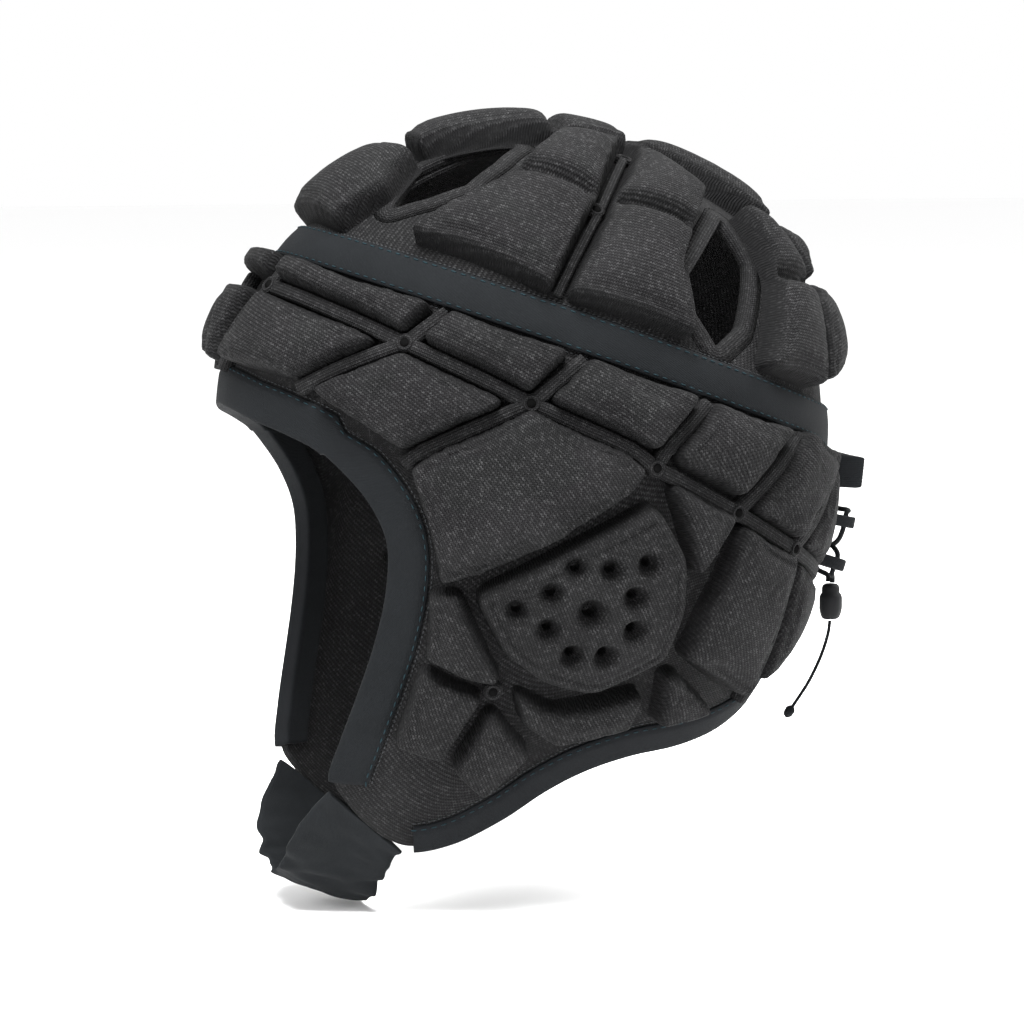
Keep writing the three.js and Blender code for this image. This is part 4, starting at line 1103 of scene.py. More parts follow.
def ear_panel(suffix, side):
    flat_map = FlatMap(unit(np.sum([n * side for n in EAR_OUTLINE], 0)))
    corners = [flat_map.flatten(n * side) for n in EAR_OUTLINE]
    outline = rounded(corners, EAR_SEAM_WIDTH / 2 - 0.2, EAR_CORNER, EAR_STEP)
    holes = [(flat_map.flatten(n * side), EAR_HOLE_RADIUS) for n in EAR_HOLES]
    holes.append((flat_map.flatten(EAR_CENTRE * side), EAR_CENTRE_RADIUS))
    turn = np.linspace(0, 2 * np.pi, 20, endpoint=False)
    circle = np.stack([np.cos(turn), np.sin(turn)], -1)
    borders = [moved_out(outline, -FOOT_RINGS[0]), *[middle + radius * circle for middle, radius in holes]]
    rings = [moved_out(outline, -ring) for ring in FOOT_RINGS[1:]]
    rings += [middle + (radius + gap) * circle for middle, radius in holes for gap in HOLE_RINGS]
    lattice = lattice_inside(outline, FOOT_RINGS[-1] + 0.5, EAR_STEP)

    def hole_gap(p):
        return np.min([np.linalg.norm(p - middle, axis=1) - radius for middle, radius in holes], 0)

    lattice = lattice[hole_gap(lattice) > 2.5]
    spare = np.vstack([*rings, lattice])
    flat, faces = triangulated(
        spare, borders, lambda p: (distance_inside(p, borders[0]) > 0) & (hole_gap(p) > -0.02),
    )
    inside = distance_inside(flat, outline)
    rise = softened(flat, np.interp(inside, PROFILE_IN, PROFILE_RISE), inside, TOP_SOFTNESS)
    groove = EAR_GROOVE_DEPTH * np.exp(-(((inside - EAR_GROOVE_IN) / EAR_GROOVE_WIDTH) ** 2))
    dip = EAR_DIP * smoothstep((inside - EAR_GROOVE_IN) / EAR_DIP_WIDTH)
    gap = np.maximum(hole_gap(flat), 0.0)
    funnel = FUNNEL_DEPTH * np.exp(-((gap / FUNNEL_WIDTH) ** 1.6))
    lip = LIP_RISE * np.exp(-(((gap - LIP_OUT) / LIP_WIDTH) ** 2))
    height = np.where(inside < 0, rise * PAD_HEIGHT, PAD_SEAT_GAP * smoothstep(inside) + rise * PAD_HEIGHT)
    height = height - (groove + dip) * smoothstep(inside / 2) - funnel + lip * smoothstep(inside / 4)
    n = flat_map.lift(flat)
    under = surface(n, np.full(len(flat), PAD_UNDER))
    body = slab(flat, faces, surface(n, height), under, turned(flat, 30 if suffix == "left" else -30))
    made = joined(f"ear_pad_{suffix}_knit", [body], PAD_KNIT)
    # Painted shade: the ear pad's colour darkens towards its rim and towards its sound holes.
    mark_rim(made, np.minimum(inside, hole_gap(flat) + 0.6))
    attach(made, "root")
    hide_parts(f"ear_pad_{suffix}")
    return made


for suffix, side in (("left", 1.0), ("right", MIRROR)):
    print(ear_panel(suffix, side).name)

# %% [markdown]
# ## The shell
# Under the pads is one wall of laminated knit in two panels, joined under the tape. Both are grids of
# columns round the head, an outer and an inner skin closed at their edges. The vents, the windows behind
# the ear panels and the lacing slit are cut out of them with a Boolean modifier.

# %% Hem, slit and cutters
HEM = [
    {"around": 0, "down": 103, "column": 0}, {"around": 9, "down": 103.4, "column": 8},
    {"around": 18, "down": 104.2, "column": 16}, {"around": 27, "down": 104.7, "column": 23},
    {"around": 36, "down": 105.6, "column": 29}, {"around": 44.5, "down": 107, "column": 35},
    {"around": 51.5, "down": 109, "column": 41}, {"around": 57, "down": 112.3, "column": 46},
    {"around": 60, "down": 117.5, "column": 51}, {"around": 62, "down": 124, "column": 56},
    {"around": 63.5, "down": 131, "column": 61}, {"around": 64.8, "down": 138.5, "column": 66},
    {"around": 66.5, "down": 145, "column": 71, "corner": "front"},
    {"around": 75, "down": 147.3, "column": 77}, {"around": 85, "down": 148.6, "column": 83},
    {"around": 96, "down": 148.8, "column": 89},
    {"around": 105, "down": 147, "column": 95, "corner": "back"},
    {"around": 112.5, "down": 141.5, "column": 101}, {"around": 117, "down": 134, "column": 107},
    {"around": 119.5, "down": 127, "column": 113}, {"around": 123.5, "down": 121.5, "column": 119},
    {"around": 130, "down": 116.5, "column": 125}, {"around": 138, "down": 112.5, "column": 131},
    {"around": 146, "down": 108.5, "column": 138}, {"around": 154, "down": 104.5, "column": 146},
    {"around": 162, "down": 101.5, "column": 155},
    {"around": 170, "down": 99.8, "column": 166, "corner": "slit"},
    {"around": 180, "down": 99, "column": 180},
]
VENTS = [
    [at(25, 57.5), at(14, 46), at(12, 36), at(16, 25), at(26, 27), at(35, 37), at(37, 46), at(32, 52)],
    [at(127, 28.5), at(112, 37), at(101, 49.5), at(103, 58), at(109, 63.5), at(116, 57), at(127, 40)],
]
EAR_WINDOW = [
    at(81.5, 112.8), at(89, 103.8), at(97, 98.2), at(105, 95.2), at(111.5, 105.5), at(105.5, 113),
    at(93, 114.3),
]
PER_HEM_ROW = 7
SEAM_GAP = 0.7


def hem_index(corner):
    return next(i for i, row in enumerate(HEM) if row.get("corner") == corner)


def hem_line(first, last, per=PER_HEM_ROW):
    """Smooth hem between two rows of the left side: around, down and column."""
    table = np.array([[row["around"], row["down"], row["column"]] for row in HEM], float)
    flipped = np.array([-1.0, 1.0, -1.0])
    table = np.vstack([table[1:2] * flipped, table, table[-2:-1] * flipped + [360, 0, 360]])
    rows = []
    for i in range(first, last):
        a, b, c, d = table[i:i + 4]
        for t in np.linspace(0, 1, per, endpoint=False):
            rows.append(0.5 * (2 * b + (c - a) * t + (2 * a - 5 * b + 4 * c - d) * t ** 2
                               + (3 * b - a - 3 * c + d) * t ** 3))
    rows.append(table[last + 1])
    return np.array(rows)


def slit_half(up):
    return SLIT_TOP_WIDTH / 2 + (SLIT_TOP - up) * SLIT_SPREAD / 2


def cutter_over(directions):
    directions = np.asarray(directions)
    inner = surface(directions, np.full(len(directions), -3 * SHELL_WALL))
    outer = surface(directions, np.full(len(directions), 2 * PAD_HEIGHT))
    return ring_faces([inner, outer])


def cut(piece, cutters):
    """Cuts closed bodies out of a piece and leaves a plain mesh."""
    tool = joined("cutter", cutters, piece.data.materials[0])
    boolean = piece.modifiers.new("cut", "BOOLEAN")
    boolean.object = tool
    boolean.solver = "EXACT"
    boolean.use_self = False
    result = bpy.data.meshes.new_from_object(piece.evaluated_get(bpy.context.evaluated_depsgraph_get()))
    piece.modifiers.clear()
    piece.data = result
    bpy.data.objects.remove(tool)


def smooth_outline(directions, step=1.6, radius=1.6):
    """Outline of directions with rounded corners, in the flat map round its middle."""
    flat_map = FlatMap(unit(np.sum(directions, 0)))
    flat = rounded([flat_map.flatten(n) for n in directions], 0.0, radius, step)
    return flat_map.lift(flat)


# %% Crown panel with its vents
CROWN_COLUMNS = 200
CROWN_STEPS = 34
around = np.linspace(0, 360, CROWN_COLUMNS, endpoint=False)
crown_hem = beside_tape(around, np.full(CROWN_COLUMNS, -SEAM_GAP / 2))


def crown_ring(share, height):
    return surface(unit(CROWN * (1 - share) + crown_hem * share), np.full(CROWN_COLUMNS, height))


crown_shares = np.linspace(0.012, 1, CROWN_STEPS)
crown_rings = [crown_ring(share, 0.0) for share in crown_shares]
crown_rings += [crown_ring(share, -SHELL_WALL) for share in crown_shares[::-1]]
crown_panel = joined("crown_panel", [ring_faces(crown_rings)], KNIT)
vent_outlines = [smooth_outline([n * side for n in vent]) for vent in VENTS for side in (1.0, MIRROR)]
cut(crown_panel, [cutter_over(outline) for outline in vent_outlines])
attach(crown_panel, "root")
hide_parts("crown_shell")
print("crown panel:", len(crown_panel.data.polygons), "faces")

# %% Side panel with its slit and ear windows
left_hem = hem_line(0, len(HEM) - 1)
right_hem = left_hem[1:-1][::-1] * [-1.0, 1.0, -1.0]
whole_hem = np.vstack([left_hem, right_hem])
side_top = beside_tape(whole_hem[:, 2], np.full(len(whole_hem), SEAM_GAP / 2))
side_hem = at(whole_hem[:, 0], whole_hem[:, 1])
SIDE_STEPS = 22


def side_row(share, height):
    angle = np.arccos(np.clip(dot(side_top, side_hem), -1, 1))[:, None]
    n = unit(np.sin((1 - share) * angle) * side_top + np.sin(share * angle) * side_hem)
    return surface(n, np.full(len(n), height))


side_shares = np.linspace(0, 1, SIDE_STEPS)
side_rows = [side_row(share, 0.0) for share in side_shares]
side_rows += [side_row(share, -SHELL_WALL) for share in side_shares[::-1]]
side_panel = joined("side_panel", [ring_faces(np.array(side_rows).transpose(1, 0, 2), looped=True)], KNIT)
slit = [(-slit_half(SLIT_TOP), SLIT_TOP), (slit_half(SLIT_TOP), SLIT_TOP),
        (slit_half(-SLIT_BELOW), -SLIT_BELOW), (-slit_half(-SLIT_BELOW), -SLIT_BELOW)]
side_cutters = [cutter_over(np.array([on_back(x, up) for x, up in slit]))]
side_cutters += [cutter_over(smooth_outline([n * side for n in EAR_WINDOW])) for side in (1.0, MIRROR)]
cut(side_panel, side_cutters)
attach(side_panel, "root")
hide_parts("side_shell")
print("side panel:", len(side_panel.data.polygons), "faces")

# %% [markdown]
# ## Turned edges of the vents
# The edge of each vent is turned over and gathered by its stitching, so it shows as a soft rolled lip
# with fine ribs across it. A section is swept along the outline, and its height is rippled from rib to
# rib.

# %% Vent edges
VENT_LIP_WIDTH = 6.5
VENT_LIP_RISE = 0.7
VENT_RIB_PITCH = 2.2
VENT_SECTION = [
    (-0.15, -SHELL_WALL - 0.4), (-0.3, -1.4), (-0.15, 0.2), (0.3, 0.75), (1.2, 1.0), (3.0, 0.75),
    (VENT_LIP_WIDTH, -0.1), (3.0, -0.5), (0.8, -0.8), (0.8, -SHELL_WALL - 0.4),
]


def vent_lip(outline):
    points = surface(outline, np.zeros(len(outline)))
    away = points - points.mean(0)
    steps = np.linalg.norm(np.roll(points, -1, 0) - points, axis=1)
    travelled = np.concatenate([[0], np.cumsum(steps)[:-1]])
    ribs = max(4, round(steps.sum() / VENT_RIB_PITCH))
    wave = 0.5 + 0.5 * np.cos(2 * np.pi * ribs * travelled / steps.sum())
    along = unit(np.roll(points, -1, 0) - np.roll(points, 1, 0))
    out = outward(outline)
    side = unit(np.cross(along, out))
    side = side * np.sign(dot(side, away))[:, None]
    rings = []
    for reach, rise in VENT_SECTION:
        ribbed = rise * VENT_LIP_RISE * (0.72 + 0.28 * wave) if rise > 0 else np.full(len(points), rise)
        rings.append(points + side * reach + out * np.asarray(ribbed)[:, None])
    return ring_faces(np.array(rings).transpose(1, 0, 2), looped=True)


vent_edges = joined("vent_edges", [vent_lip(smooth_outline(n, 0.55)) for n in [
    [d * side for d in vent] for vent in VENTS for side in (1.0, MIRROR)]], KNIT)
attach(vent_edges, "root")
print("vent edges:", len(vent_edges.data.polygons), "faces")

# %% [markdown]
# ## Tape and bindings
# A woven tape covers the seam round the head, and a folded tape clasps the hem. Both are thin strips with
# round edges, so a section is swept along them: a lens for the flat tape, and a rounded U for the folded
# one.

# %% Tape round the head
TAPE_COLUMNS = 260
tape_around = np.linspace(0, 360, TAPE_COLUMNS, endpoint=False)


def tape_rings(reach, height):
    return surface(beside_tape(tape_around, np.full(TAPE_COLUMNS, reach)), np.full(TAPE_COLUMNS, height))


half = TAPE_WIDTH / 2
tape_section = [
    (-half, 0.75), (-half, 1.5), (-half + 0.5, 1.95), (-half + 2.2, 2.02), (-2.2, 2.14), (0, 2.2),
    (2.2, 2.14), (half - 2.2, 2.02), (half - 0.5, 1.95), (half, 1.5), (half, 0.75), (0, 0.6),
]
band_rings = np.array([tape_rings(reach, height) for reach, height in tape_section]).transpose(1, 0, 2)
band = joined("tape_band_cloth", [ring_faces(band_rings, looped=True)], TAPE)
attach(band, "root")
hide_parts("tape_band")
print("tape band:", len(band.data.polygons), "faces")

# %% Bindings of the hem
FACE_BINDING_WIDTH = 11.5
NAPE_BINDING_WIDTH = 8.5
BINDING_INSIDE_WIDTH = 8.0
BINDING_THICKNESS = 1.1
BINDING_LINING_GAP = 1.2
BINDING_EDGE = 0.9
BINDING_RAMP = 2.5


def hem_frame(rows):
    """Directions along the hem, the way into the cloth at each, and the cloth's normal."""
    n = at(rows[:, 0], rows[:, 1])
    along = np.gradient(form(n), axis=0)
    inward = unit(np.cross(along, outward(n)))
    to_tape = form(at(rows[:, 2], TAPE_DOWN)) - form(n)
    return n, inward * np.sign(dot(inward, to_tape).sum())


def beside_hem(rows, reach, height):
    n, inward = hem_frame(rows)
    return surface(slide(n, inward * reach), np.full(len(n), height))


def binding(name, rows, width, node):
    out, far = SEAT_GAP, SEAT_GAP + BINDING_THICKNESS
    inside = -SHELL_WALL - BINDING_LINING_GAP
    flat = [
        (width, -0.15), (width, BINDING_EDGE), (width - BINDING_RAMP, far), (-far, far),
        (-far, inside - BINDING_THICKNESS),
        (BINDING_INSIDE_WIDTH, inside - BINDING_THICKNESS), (BINDING_INSIDE_WIDTH, inside),
        (-out, inside), (-out, out - 0.3),
    ]
    section = rounded(flat, 0.0, 0.9, 1.6)
    rings = np.array([beside_hem(rows, reach, height) for reach, height in section]).transpose(1, 0, 2)
    made = joined(name, [ring_faces(rings)], TAPE)
    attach(made, "root")
    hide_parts(node)
    return made


front_left = hem_line(0, hem_index("front"))
front_right = front_left[1:][::-1] * [-1.0, 1.0, -1.0]
face_rows = np.vstack([front_right, front_left])
nape_left = hem_line(hem_index("back"), hem_index("slit"))
nape_right = nape_left * [-1.0, 1.0, -1.0]
binding("face_binding_cloth", face_rows, FACE_BINDING_WIDTH, "face_binding")
binding("nape_binding_left_cloth", nape_left, NAPE_BINDING_WIDTH, "nape_binding_left")
binding("nape_binding_right_cloth", nape_right, NAPE_BINDING_WIDTH, "nape_binding_right")
print("bindings made")

# %% [markdown]
# ## Chin strap
# The strap is wide elastic that gathers when it is relaxed. It hangs from one flap tip under the chin to
# the other. Its section is a soft ribbon in two rows of small folds, which swing from side to side along
# its length and leave its edges scalloped.

# %% Chin strap
STRAP_WIDTH = 33.0
STRAP_THICKNESS = 2.6
STRAP_RUFFLE = 1.1
STRAP_RUFFLES = 6
STRAP_FINE_FOLD = 0.35
FINE_PER_RUFFLE = 2.3
STRAP_EASE = 6
STRAP_EDGE_THINNING = 0.55
STRAP_VALLEY = 0.22
STRAP_SEAT_GAP = 0.5
CHIN_FORWARD = 73.0
CHIN_DROP = 152.0
CHIN_PITCH = math.radians(20)
STRAP_STEPS = 150
STRAP_ACROSS = 26


def hem_at(index):
    return at(HEM[index]["around"], HEM[index]["down"])


def strap_line():
    """Points, tangents and width directions of the left half, from the flap tip to the chin."""
    first, last = hem_index("front"), hem_index("back")
    middle = hem_at(round((first + last) / 2))
    across = unit(form(hem_at(last)) - form(hem_at(first)))
    leave = unit(np.cross(across, outward(middle)))
    leave = -leave if leave[2] > 0 else leave
    start = surface(middle, -SHELL_WALL / 2) + leave * STRAP_SEAT_GAP
    chin = np.array([0, -CHIN_FORWARD, -CHIN_DROP]) + CENTRE
    bend = np.linalg.norm(start - chin) * 0.45
    p = [start, start + leave * bend, chin + [bend, 0, 0], chin]
    t = np.linspace(0, 1, 800)[:, None]
    fine = (1 - t) ** 3 * p[0] + 3 * t * (1 - t) ** 2 * p[1] + 3 * t * t * (1 - t) * p[2] + t ** 3 * p[3]
    travelled = np.concatenate([[0], np.cumsum(np.linalg.norm(np.diff(fine, axis=0), axis=1))])
    even = np.linspace(0, travelled[-1], STRAP_STEPS + 1)
    points = np.stack([np.interp(even, travelled, fine[:, k]) for k in range(3)], -1)
    share = (even / even[-1])[:, None]
    along = unit(np.gradient(points, axis=0))
    chin_across = np.array([0, math.cos(CHIN_PITCH), -math.sin(CHIN_PITCH)])
    width = across * (1 - share) + chin_across * share
    width = unit(width - along * dot(width, along)[:, None])
    return points, along, width, share[:, 0], travelled[-1]


def strap_body():
    points, along, width, share, half_length = strap_line()
    face = np.cross(along, width)
    ease = np.minimum(1.0, share * STRAP_EASE)
    swing = STRAP_RUFFLES * share + 0.5 * np.sin(11 * share)
    wave = STRAP_RUFFLE * ease * np.cos(np.pi * swing)
    fine = STRAP_FINE_FOLD * ease * np.cos(np.pi * FINE_PER_RUFFLE * STRAP_RUFFLES * share + 1.1)
    w = np.linspace(-1, 1, STRAP_ACROSS)
    rows = 1.5 * w ** 2 - 0.5
    two_rows = np.abs(np.sin(np.pi * w))
    rings = []
    for i in range(len(points)):
        edge = STRAP_WIDTH / 2 + 0.5 * wave[i] + 0.4 * fine[i]
        drift = 0.8 * math.sin(9 * share[i] + 2.0)
        middle = wave[i] * rows + fine[i] * two_rows * np.cos(3 * w + drift)
        thick = 0.5 * STRAP_THICKNESS * (1 - STRAP_EDGE_THINNING * np.abs(w) ** 8)
        thick = thick * (1 - STRAP_VALLEY + STRAP_VALLEY * two_rows)
        top = points[i] + width[i] * (edge * w)[:, None] + face[i] * (middle + thick)[:, None]
        low = points[i] + width[i] * (edge * w)[:, None] + face[i] * (middle - thick)[:, None]
        rings.append(np.vstack([low, top[::-1]]))
    mirror_rings = [ring * MIRROR for ring in rings[:-1][::-1]]
    return ring_faces([*rings, *mirror_rings]), half_length


strap_mesh, strap_half = strap_body()
strap = joined("chin_strap_elastic", [strap_mesh], STRAP)
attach(strap, "root")
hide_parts("chin_strap")
print("chin strap", round(2 * strap_half, 1), "mm from tip to tip")

# %% [markdown]
# ## Lacing at the nape
# The slit at the back is edged with tape. A ribbed block sits at its top, and four small loops of tape
# carry the lace, which crosses once and ends in a toggle.


# %% Lace frame
def back_slab(outline, bottom, top, edge, step=0.9):
    """Closed block over an outline on the back's map, its top edge rounded over a width."""
    outline = rounded(outline, 0.0, min(edge, 1.2), step)
    inner = [moved_out(outline, -edge * share) for share in (0.3, 0.7)]
    inner = [ring[distance_inside(ring, outline) > edge * 0.2] for ring in inner]
    spare = np.vstack([*inner, lattice_inside(outline, edge, step)])
    flat, faces = triangulated(spare, [outline], lambda p: distance_inside(p, outline) > 0)
    share = np.clip(np.maximum(distance_inside(flat, outline), 0) / edge, 0, 1)
    rise = bottom + (top - bottom) * (0.55 + 0.45 * np.sqrt(1 - (1 - share) ** 2))
    n = BACK_MAP.lift(flat)
    return slab(flat, faces, surface(n, rise), surface(n, np.full(len(flat), bottom)), flat)


def rectangle(left, right, bottom, top):
    return [(left, bottom), (right, bottom), (right, top), (left, top)]


RIB_COUNT = 4
RIB_LENGTH = 11.0
RIB_RISE = 19.5
RIB_SHARE = 2 / 3
BLOCK_WIDTH = 18.0
BLOCK_HEIGHT = 16.5
TAPE_BOTTOM, TAPE_TOP = SEAT_GAP - 0.3, SEAT_GAP + TAPE_THICKNESS
frame_parts = []
for side in (1, -1):
    leg_rows = [-LEG_BELOW, SLIT_TOP]
    near = [(side * (slit_half(up) + CORD_CLEARANCE), up) for up in leg_rows]
    far = [(side * (slit_half(up) + SLIT_TAPE_WIDTH), up) for up in leg_rows]
    frame_parts.append(back_slab([near[0], near[1], far[1], far[0]], TAPE_BOTTOM, TAPE_TOP, 0.6, 1.4))
block_half = max(BLOCK_WIDTH / 2, slit_half(SLIT_TOP) + SLIT_TAPE_WIDTH)
block_outline = rectangle(-block_half, block_half, SLIT_TOP - CORD_CLEARANCE, SLIT_TOP + BLOCK_HEIGHT)
frame_parts.append(back_slab(block_outline, TAPE_BOTTOM, TAPE_TOP + 0.2, 0.8, 1.2))
pitch = BLOCK_WIDTH / RIB_COUNT
rib_middle = SLIT_TOP + BLOCK_HEIGHT - RIB_LENGTH / 2 - CORD_CLEARANCE
for i in range(RIB_COUNT):
    left = (i + (1 - RIB_SHARE) / 2 - RIB_COUNT / 2) * pitch
    right = left + pitch * RIB_SHARE
    rib = rectangle(left, right, rib_middle - RIB_LENGTH / 2, rib_middle + RIB_LENGTH / 2)
    frame_parts.append(back_slab(rib, TAPE_TOP, RIB_RISE, 0.9, 0.6))


LOOP_SECTION = [
    (-2, -0.4), (-1.6, -0.7), (1.6, -0.7), (2, -0.4), (2, 0.4), (1.6, 0.7), (-1.6, 0.7), (-2, 0.4),
]


def lace_loop(centre, up):
    """A small arch of tape over the leg, wide enough for the lace."""
    half = LACE_LOOP_SPAN / 2
    turn = np.linspace(0, np.pi, 19)
    rings = []
    for angle in turn:
        x = centre - math.cos(angle) * (half - LACE_LOOP_WALL / 2)
        rise = TAPE_TOP + (LACE_LOOP_RISE - TAPE_TOP - LACE_LOOP_WALL / 2) * math.sin(angle) ** 0.55
        tip_x = centre - math.cos(angle) * (half - LACE_LOOP_WALL / 2 + 1.0)
        tip_rise = TAPE_TOP + (LACE_LOOP_RISE - TAPE_TOP - LACE_LOOP_WALL / 2 + 1.0) * math.sin(angle) ** 0.55
        base = surface(on_back(x, up), rise)
        way = unit(surface(on_back(tip_x, up), tip_rise + 1e-3) - base)
        along = unit(surface(on_back(x, up + 1), rise) - base)
        ring = []
        for a, b in LOOP_SECTION:
            ring.append(base + along * a * LACE_LOOP_WIDTH / 4 + way * b)
        rings.append(ring)
    return ring_faces(rings)


for up in LOOP_ROWS:
    for side in (1, -1):
        frame_parts.append(lace_loop(side * (slit_half(up) + SLIT_TAPE_WIDTH / 2), up))
lacing = joined("lace_frame_tape", frame_parts, TAPE)
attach(lacing, "root")
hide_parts("lace_frame")
print("lace frame:", len(lacing.data.polygons), "faces")

# %% Lace and toggle
past = LACE_LOOP_WIDTH * 0.7


def in_loop(up, side):
    x = side * (slit_half(up) + SLIT_TAPE_WIDTH / 2 - LACE_PULL)
    return [surface(on_back(x, up + step), LACE_HEIGHT) for step in (past, -past)]


def strand(side, lift):
    upper, lower = LOOP_ROWS
    lock_top = lock_place + [0, 0, LOCK_HEIGHT / 2 + CORD_CLEARANCE]
    return [
        surface(on_back(side * LACE_RADIUS * 3, SLIT_TOP - 2 * LACE_RADIUS), LACE_HEIGHT + LACE_STAND),
        *in_loop(upper, side),
        surface(on_back(0, (upper + lower) / 2), LACE_HEIGHT + lift),
        *in_loop(lower, -side),
        lock_top + [-side * LACE_RADIUS * 2, 0, LACE_RADIUS * 2],
        lock_top + [-side * LACE_RADIUS * 2, 0, 0],
    ]


lace_route = [*strand(1, LACE_CROSSING)[::-1], *strand(-1, -LACE_CROSSING)]
lace = joined("drawcord_lace", [ring_faces(tube(through(lace_route, 10), LACE_RADIUS * 0.9, 12))], TAPE)
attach(lace, "root")
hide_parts("drawcord")

lock_profile = [
    (0.05, -0.5), (0.62, -0.5), (0.78, -0.46), (0.9, -0.36), (1.0, -0.2), (1.0, 0.1), (0.9, 0.2),
    (0.78, 0.24), (0.78, 0.38), (0.7, 0.45), (0.5, 0.5), (0.05, 0.5),
]
TOGGLE_SLIMMING = [0.75, 0.75, 0.95]
turn = np.linspace(0, 2 * np.pi, 40, endpoint=False)
beak = 1 + 0.22 * np.exp(-((((turn - np.pi / 2 + np.pi) % (2 * np.pi)) - np.pi) / 0.35) ** 2)
lock_rings = []
for reach, rise in lock_profile:
    ring = np.stack([np.cos(turn) * LOCK_RADIUS * reach, np.sin(turn) * LOCK_RADIUS * reach * beak,
                     np.full(40, rise * LOCK_HEIGHT)], -1)
    lock_rings.append(lock_place + ring * TOGGLE_SLIMMING)
lock = joined("cord_lock_toggle", [ring_faces(lock_rings)], PLASTIC)
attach(lock, "root")
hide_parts("cord_lock")
print("lacing done")

# %% [markdown]
# ## Eyelets
# Where the channels cross, small eyelets let air through: a raised ring round a hole, filled with a dark plug
# as painted shadow.

# %% Eyelets
EYELETS = [
    *(SEAM[name] for name in ("brow", "temple", "side", "ear", "rear", "corner")),
    at(73.4, 42.4), at(77, 15), SEAM["cheek"],
]
EYELET_RADIUS = 3.0
EYELET_HOLE = 1.35


def eyelet_rise(n):
    return (LOW_STRIP_RISE if n[2] > 0.5 else STRIP_RISE) + 0.5


def eyelet(n):
    flat_map = FlatMap(n)
    top = eyelet_rise(n)
    ring_turn = np.linspace(0, 2 * np.pi, 28, endpoint=False)
    circle = np.stack([np.cos(ring_turn), np.sin(ring_turn)], -1)
    rows = [(EYELET_RADIUS, -0.6), (EYELET_RADIUS, top - 0.8), (EYELET_RADIUS - 0.4, top - 0.2),
            (EYELET_RADIUS - 0.9, top), (EYELET_HOLE + 0.3, top - 0.1), (EYELET_HOLE, top - 0.5),
            (EYELET_HOLE, -0.6)]
    rings = np.array([surface(flat_map.lift(circle * r), np.full(28, h)) for r, h in rows])
    return ring_faces(rings.transpose(1, 0, 2), looped=True)


eyelets = joined("eyelets", [eyelet(n * side) for n in EYELETS for side in (1.0, MIRROR)], KNIT)
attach(eyelets, "root")


# Painted shadow: a dark plug fills each eyelet's hole, where the hole would be in shade.
def eyelet_hole(n):
    flat_map = FlatMap(n)
    ring_turn = np.linspace(0, 2 * np.pi, 20, endpoint=False)
    circle = np.stack([np.cos(ring_turn), np.sin(ring_turn)], -1)
    top = eyelet_rise(n) - 0.3
    rows = [(0.05, top), (EYELET_HOLE + 0.1, top), (EYELET_HOLE + 0.1, -0.5), (0.05, -0.5)]
    return ring_faces([surface(flat_map.lift(circle * r), np.full(20, h)) for r, h in rows])


def shadow_finish():
    finish = Finish("eyelet_hole_painted_shadow")
    shade = finish.noise(300.0)
    finish.feed("Base Color", finish.blend(shade, (0.002, 0.002, 0.002), (0.004, 0.004, 0.004)))
    finish.feed("Roughness", 0.95)
    finish.feed("Specular IOR Level", 0.0)
    return finish.material


hole_shadow_bodies = [eyelet_hole(n * side) for n in EYELETS for side in (1.0, MIRROR)]
holes = joined("eyelet_hole_shadows", hole_shadow_bodies, shadow_finish())
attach(holes, "root")
print(2 * len(EYELETS), "eyelets")

# %% [markdown]
# ## Stitches
# A row of stitches is the same small thread repeated along a line, which is what Geometry Nodes are for.
# The tree walks along a line of edges at an even pitch, puts a slim bead at each step with its length
# along the line, and makes the beads real.


# %% Stitch tree and the seams it sews
def stitch_tree():
    tree = bpy.data.node_groups.new("stitch_row", "GeometryNodeTree")
    tree.is_modifier = True
    tree.interface.new_socket("Geometry", in_out="INPUT", socket_type="NodeSocketGeometry")
    for name in ("Pitch", "Length", "Thickness"):
        tree.interface.new_socket(name, in_out="INPUT", socket_type="NodeSocketFloat")
    tree.interface.new_socket("Thread", in_out="INPUT", socket_type="NodeSocketMaterial")
    tree.interface.new_socket("Geometry", in_out="OUTPUT", socket_type="NodeSocketGeometry")
    made = {name: tree.nodes.new(kind) for name, kind in {
        "in": "NodeGroupInput", "curve": "GeometryNodeMeshToCurve", "walk": "GeometryNodeCurveToPoints",
        "bead": "GeometryNodeMeshIcoSphere", "size": "ShaderNodeCombineXYZ",
        "put": "GeometryNodeInstanceOnPoints", "real": "GeometryNodeRealizeInstances",
        "smooth": "GeometryNodeSetShadeSmooth", "paint": "GeometryNodeSetMaterial", "out": "NodeGroupOutput",
    }.items()}
    made["walk"].mode = "LENGTH"
    made["bead"].inputs["Radius"].default_value = 0.5
    made["bead"].inputs["Subdivisions"].default_value = 1
    wires = [
        ("in", "Geometry", "curve", "Mesh"), ("curve", "Curve", "walk", "Curve"),
        ("in", "Pitch", "walk", "Length"), ("walk", "Points", "put", "Points"),
        ("bead", "Mesh", "put", "Instance"), ("walk", "Rotation", "put", "Rotation"),
        ("in", "Thickness", "size", "X"), ("in", "Thickness", "size", "Y"),
        ("in", "Length", "size", "Z"), ("size", "Vector", "put", "Scale"),
        ("put", "Instances", "real", "Geometry"), ("real", "Geometry", "smooth", "Geometry"),
        ("smooth", "Geometry", "paint", "Geometry"), ("in", "Thread", "paint", "Material"),
        ("paint", "Geometry", "out", "Geometry"),
    ]
    for source, output, target, socket in wires:
        tree.links.new(made[source].outputs[output], made[target].inputs[socket])
    return tree


STITCHES = stitch_tree()


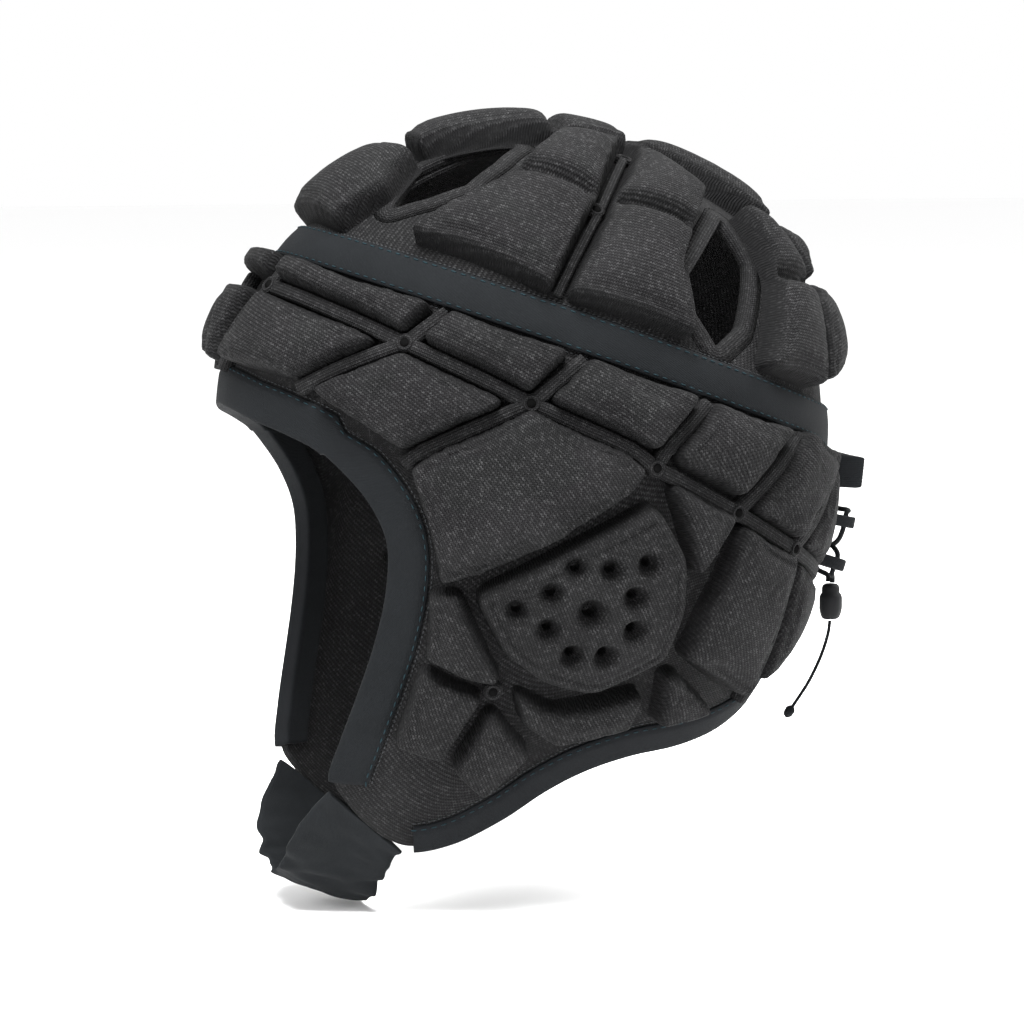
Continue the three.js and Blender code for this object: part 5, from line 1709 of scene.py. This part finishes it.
def stitched(name, lines, thread, pitch, length, thickness):
    """Sews a row of stitches along each line of points in millimetres."""
    points, edges, start = [], [], 0
    for line, closed in lines:
        count = len(line)
        points += (np.asarray(line) * MM).tolist()
        edges += [(start + i, start + (i + 1) % count) for i in range(count if closed else count - 1)]
        start += count
    mesh = bpy.data.meshes.new(name)
    mesh.from_pydata(points, edges, [])
    sewn = bpy.data.objects.new(name, mesh)
    scene.collection.objects.link(sewn)
    modifier = sewn.modifiers.new("stitches", "NODES")
    modifier.node_group = STITCHES
    values = {"Pitch": pitch * MM, "Length": length * MM, "Thickness": thickness * MM, "Thread": thread}
    for item in STITCHES.interface.items_tree:
        if item.item_type == "SOCKET" and item.in_out == "INPUT" and item.name in values:
            modifier[item.identifier] = values[item.name]
    bpy.context.view_layer.update()
    sewn.data = bpy.data.meshes.new_from_object(sewn.evaluated_get(bpy.context.evaluated_depsgraph_get()))
    sewn.modifiers.clear()
    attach(sewn, "root")
    print(name, len(sewn.data.polygons), "faces")


tape_edge = TAPE_WIDTH / 2 - 1.1
tape_rows = [(tape_rings(reach, 2.06), True) for reach in (-tape_edge, tape_edge)]
stitched("tape_stitches", tape_rows, THREAD, 3.4, 2.3, 0.5)
hem_far = BINDING_EDGE + 0.4 * (SEAT_GAP + BINDING_THICKNESS - BINDING_EDGE) + 0.05
binding_rows = [(beside_hem(rows, width - 1.0, hem_far), False) for rows, width in (
    (face_rows, FACE_BINDING_WIDTH), (nape_left, NAPE_BINDING_WIDTH), (nape_right, NAPE_BINDING_WIDTH))]
stitched("binding_stitches", binding_rows, THREAD, 3.4, 2.3, 0.5)
knit_rows = [(tape_rings(reach, 0.2), True) for reach in (-half - 0.9, half + 0.9)]
knit_rows += [(beside_hem(rows, width + 0.8, 0.15), False) for rows, width in (
    (face_rows, FACE_BINDING_WIDTH), (nape_left, NAPE_BINDING_WIDTH), (nape_right, NAPE_BINDING_WIDTH))]
stitched("edge_stitches", knit_rows, PALE_THREAD, 1.7, 1.3, 0.45)

# %% [markdown]
# ## Floor and light
# The cap is held up as if worn, over a plain pale floor. Large soft lights above and in front let the
# rounded pads shade themselves, with a weaker one behind the nape.

# %% Floor, backdrop and lights
low_corner, high_corner = (list(corner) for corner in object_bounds())


def studio_finish():
    finish = Finish("pale_floor")
    finish.feed("Base Color", (0.97, 0.97, 0.97, 1.0))
    finish.feed("Roughness", 0.9)
    return finish.material


FLOOR_HALF = 8.0
floor_mesh = bpy.data.meshes.new("floor")
floor_z = low_corner[2] - 0.001
floor_mesh.from_pydata(
    [(x * FLOOR_HALF, y * FLOOR_HALF, floor_z) for x, y in ((-1, -1), (1, -1), (1, 1), (-1, 1))],
    [], [(0, 1, 2, 3)])
floor_mesh.materials.append(studio_finish())
floor = bpy.data.objects.new("floor", floor_mesh)
scene.collection.objects.link(floor)
floor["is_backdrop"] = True

world = bpy.data.worlds.new("studio")
world.use_nodes = True
world.node_tree.nodes["Background"].inputs["Color"].default_value = (1.0, 1.0, 1.0, 1.0)
world.node_tree.nodes["Background"].inputs["Strength"].default_value = 1.0
scene.world = world
scene.view_settings.view_transform = "Standard"


def soft_light(name, around, up, distance, size, power):
    """A square area light aimed at the cap, placed by its angles from the object."""
    a, e = math.radians(around), math.radians(up)
    way = Vector((math.sin(a) * math.cos(e), -math.cos(a) * math.cos(e), math.sin(e)))
    light = bpy.data.objects.new(name, bpy.data.lights.new(name, "AREA"))
    light.data.shape = "SQUARE"
    light.data.size = size
    light.data.energy = power
    light.location = Vector(CENTRE * MM) + way * distance
    light.rotation_mode = "QUATERNION"
    light.rotation_quaternion = (-way).to_track_quat("-Z", "Y")
    scene.collection.objects.link(light)
    light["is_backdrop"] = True


soft_light("key", 62, 62, 1.3, 0.7, 78)
soft_light("fill", 20, 20, 1.8, 1.0, 16)
soft_light("back", 190, 40, 1.6, 0.8, 30)
print("lights set")

# %% Print the bounds of the frame and finish
print("finished from", low_corner, "to", high_corner)
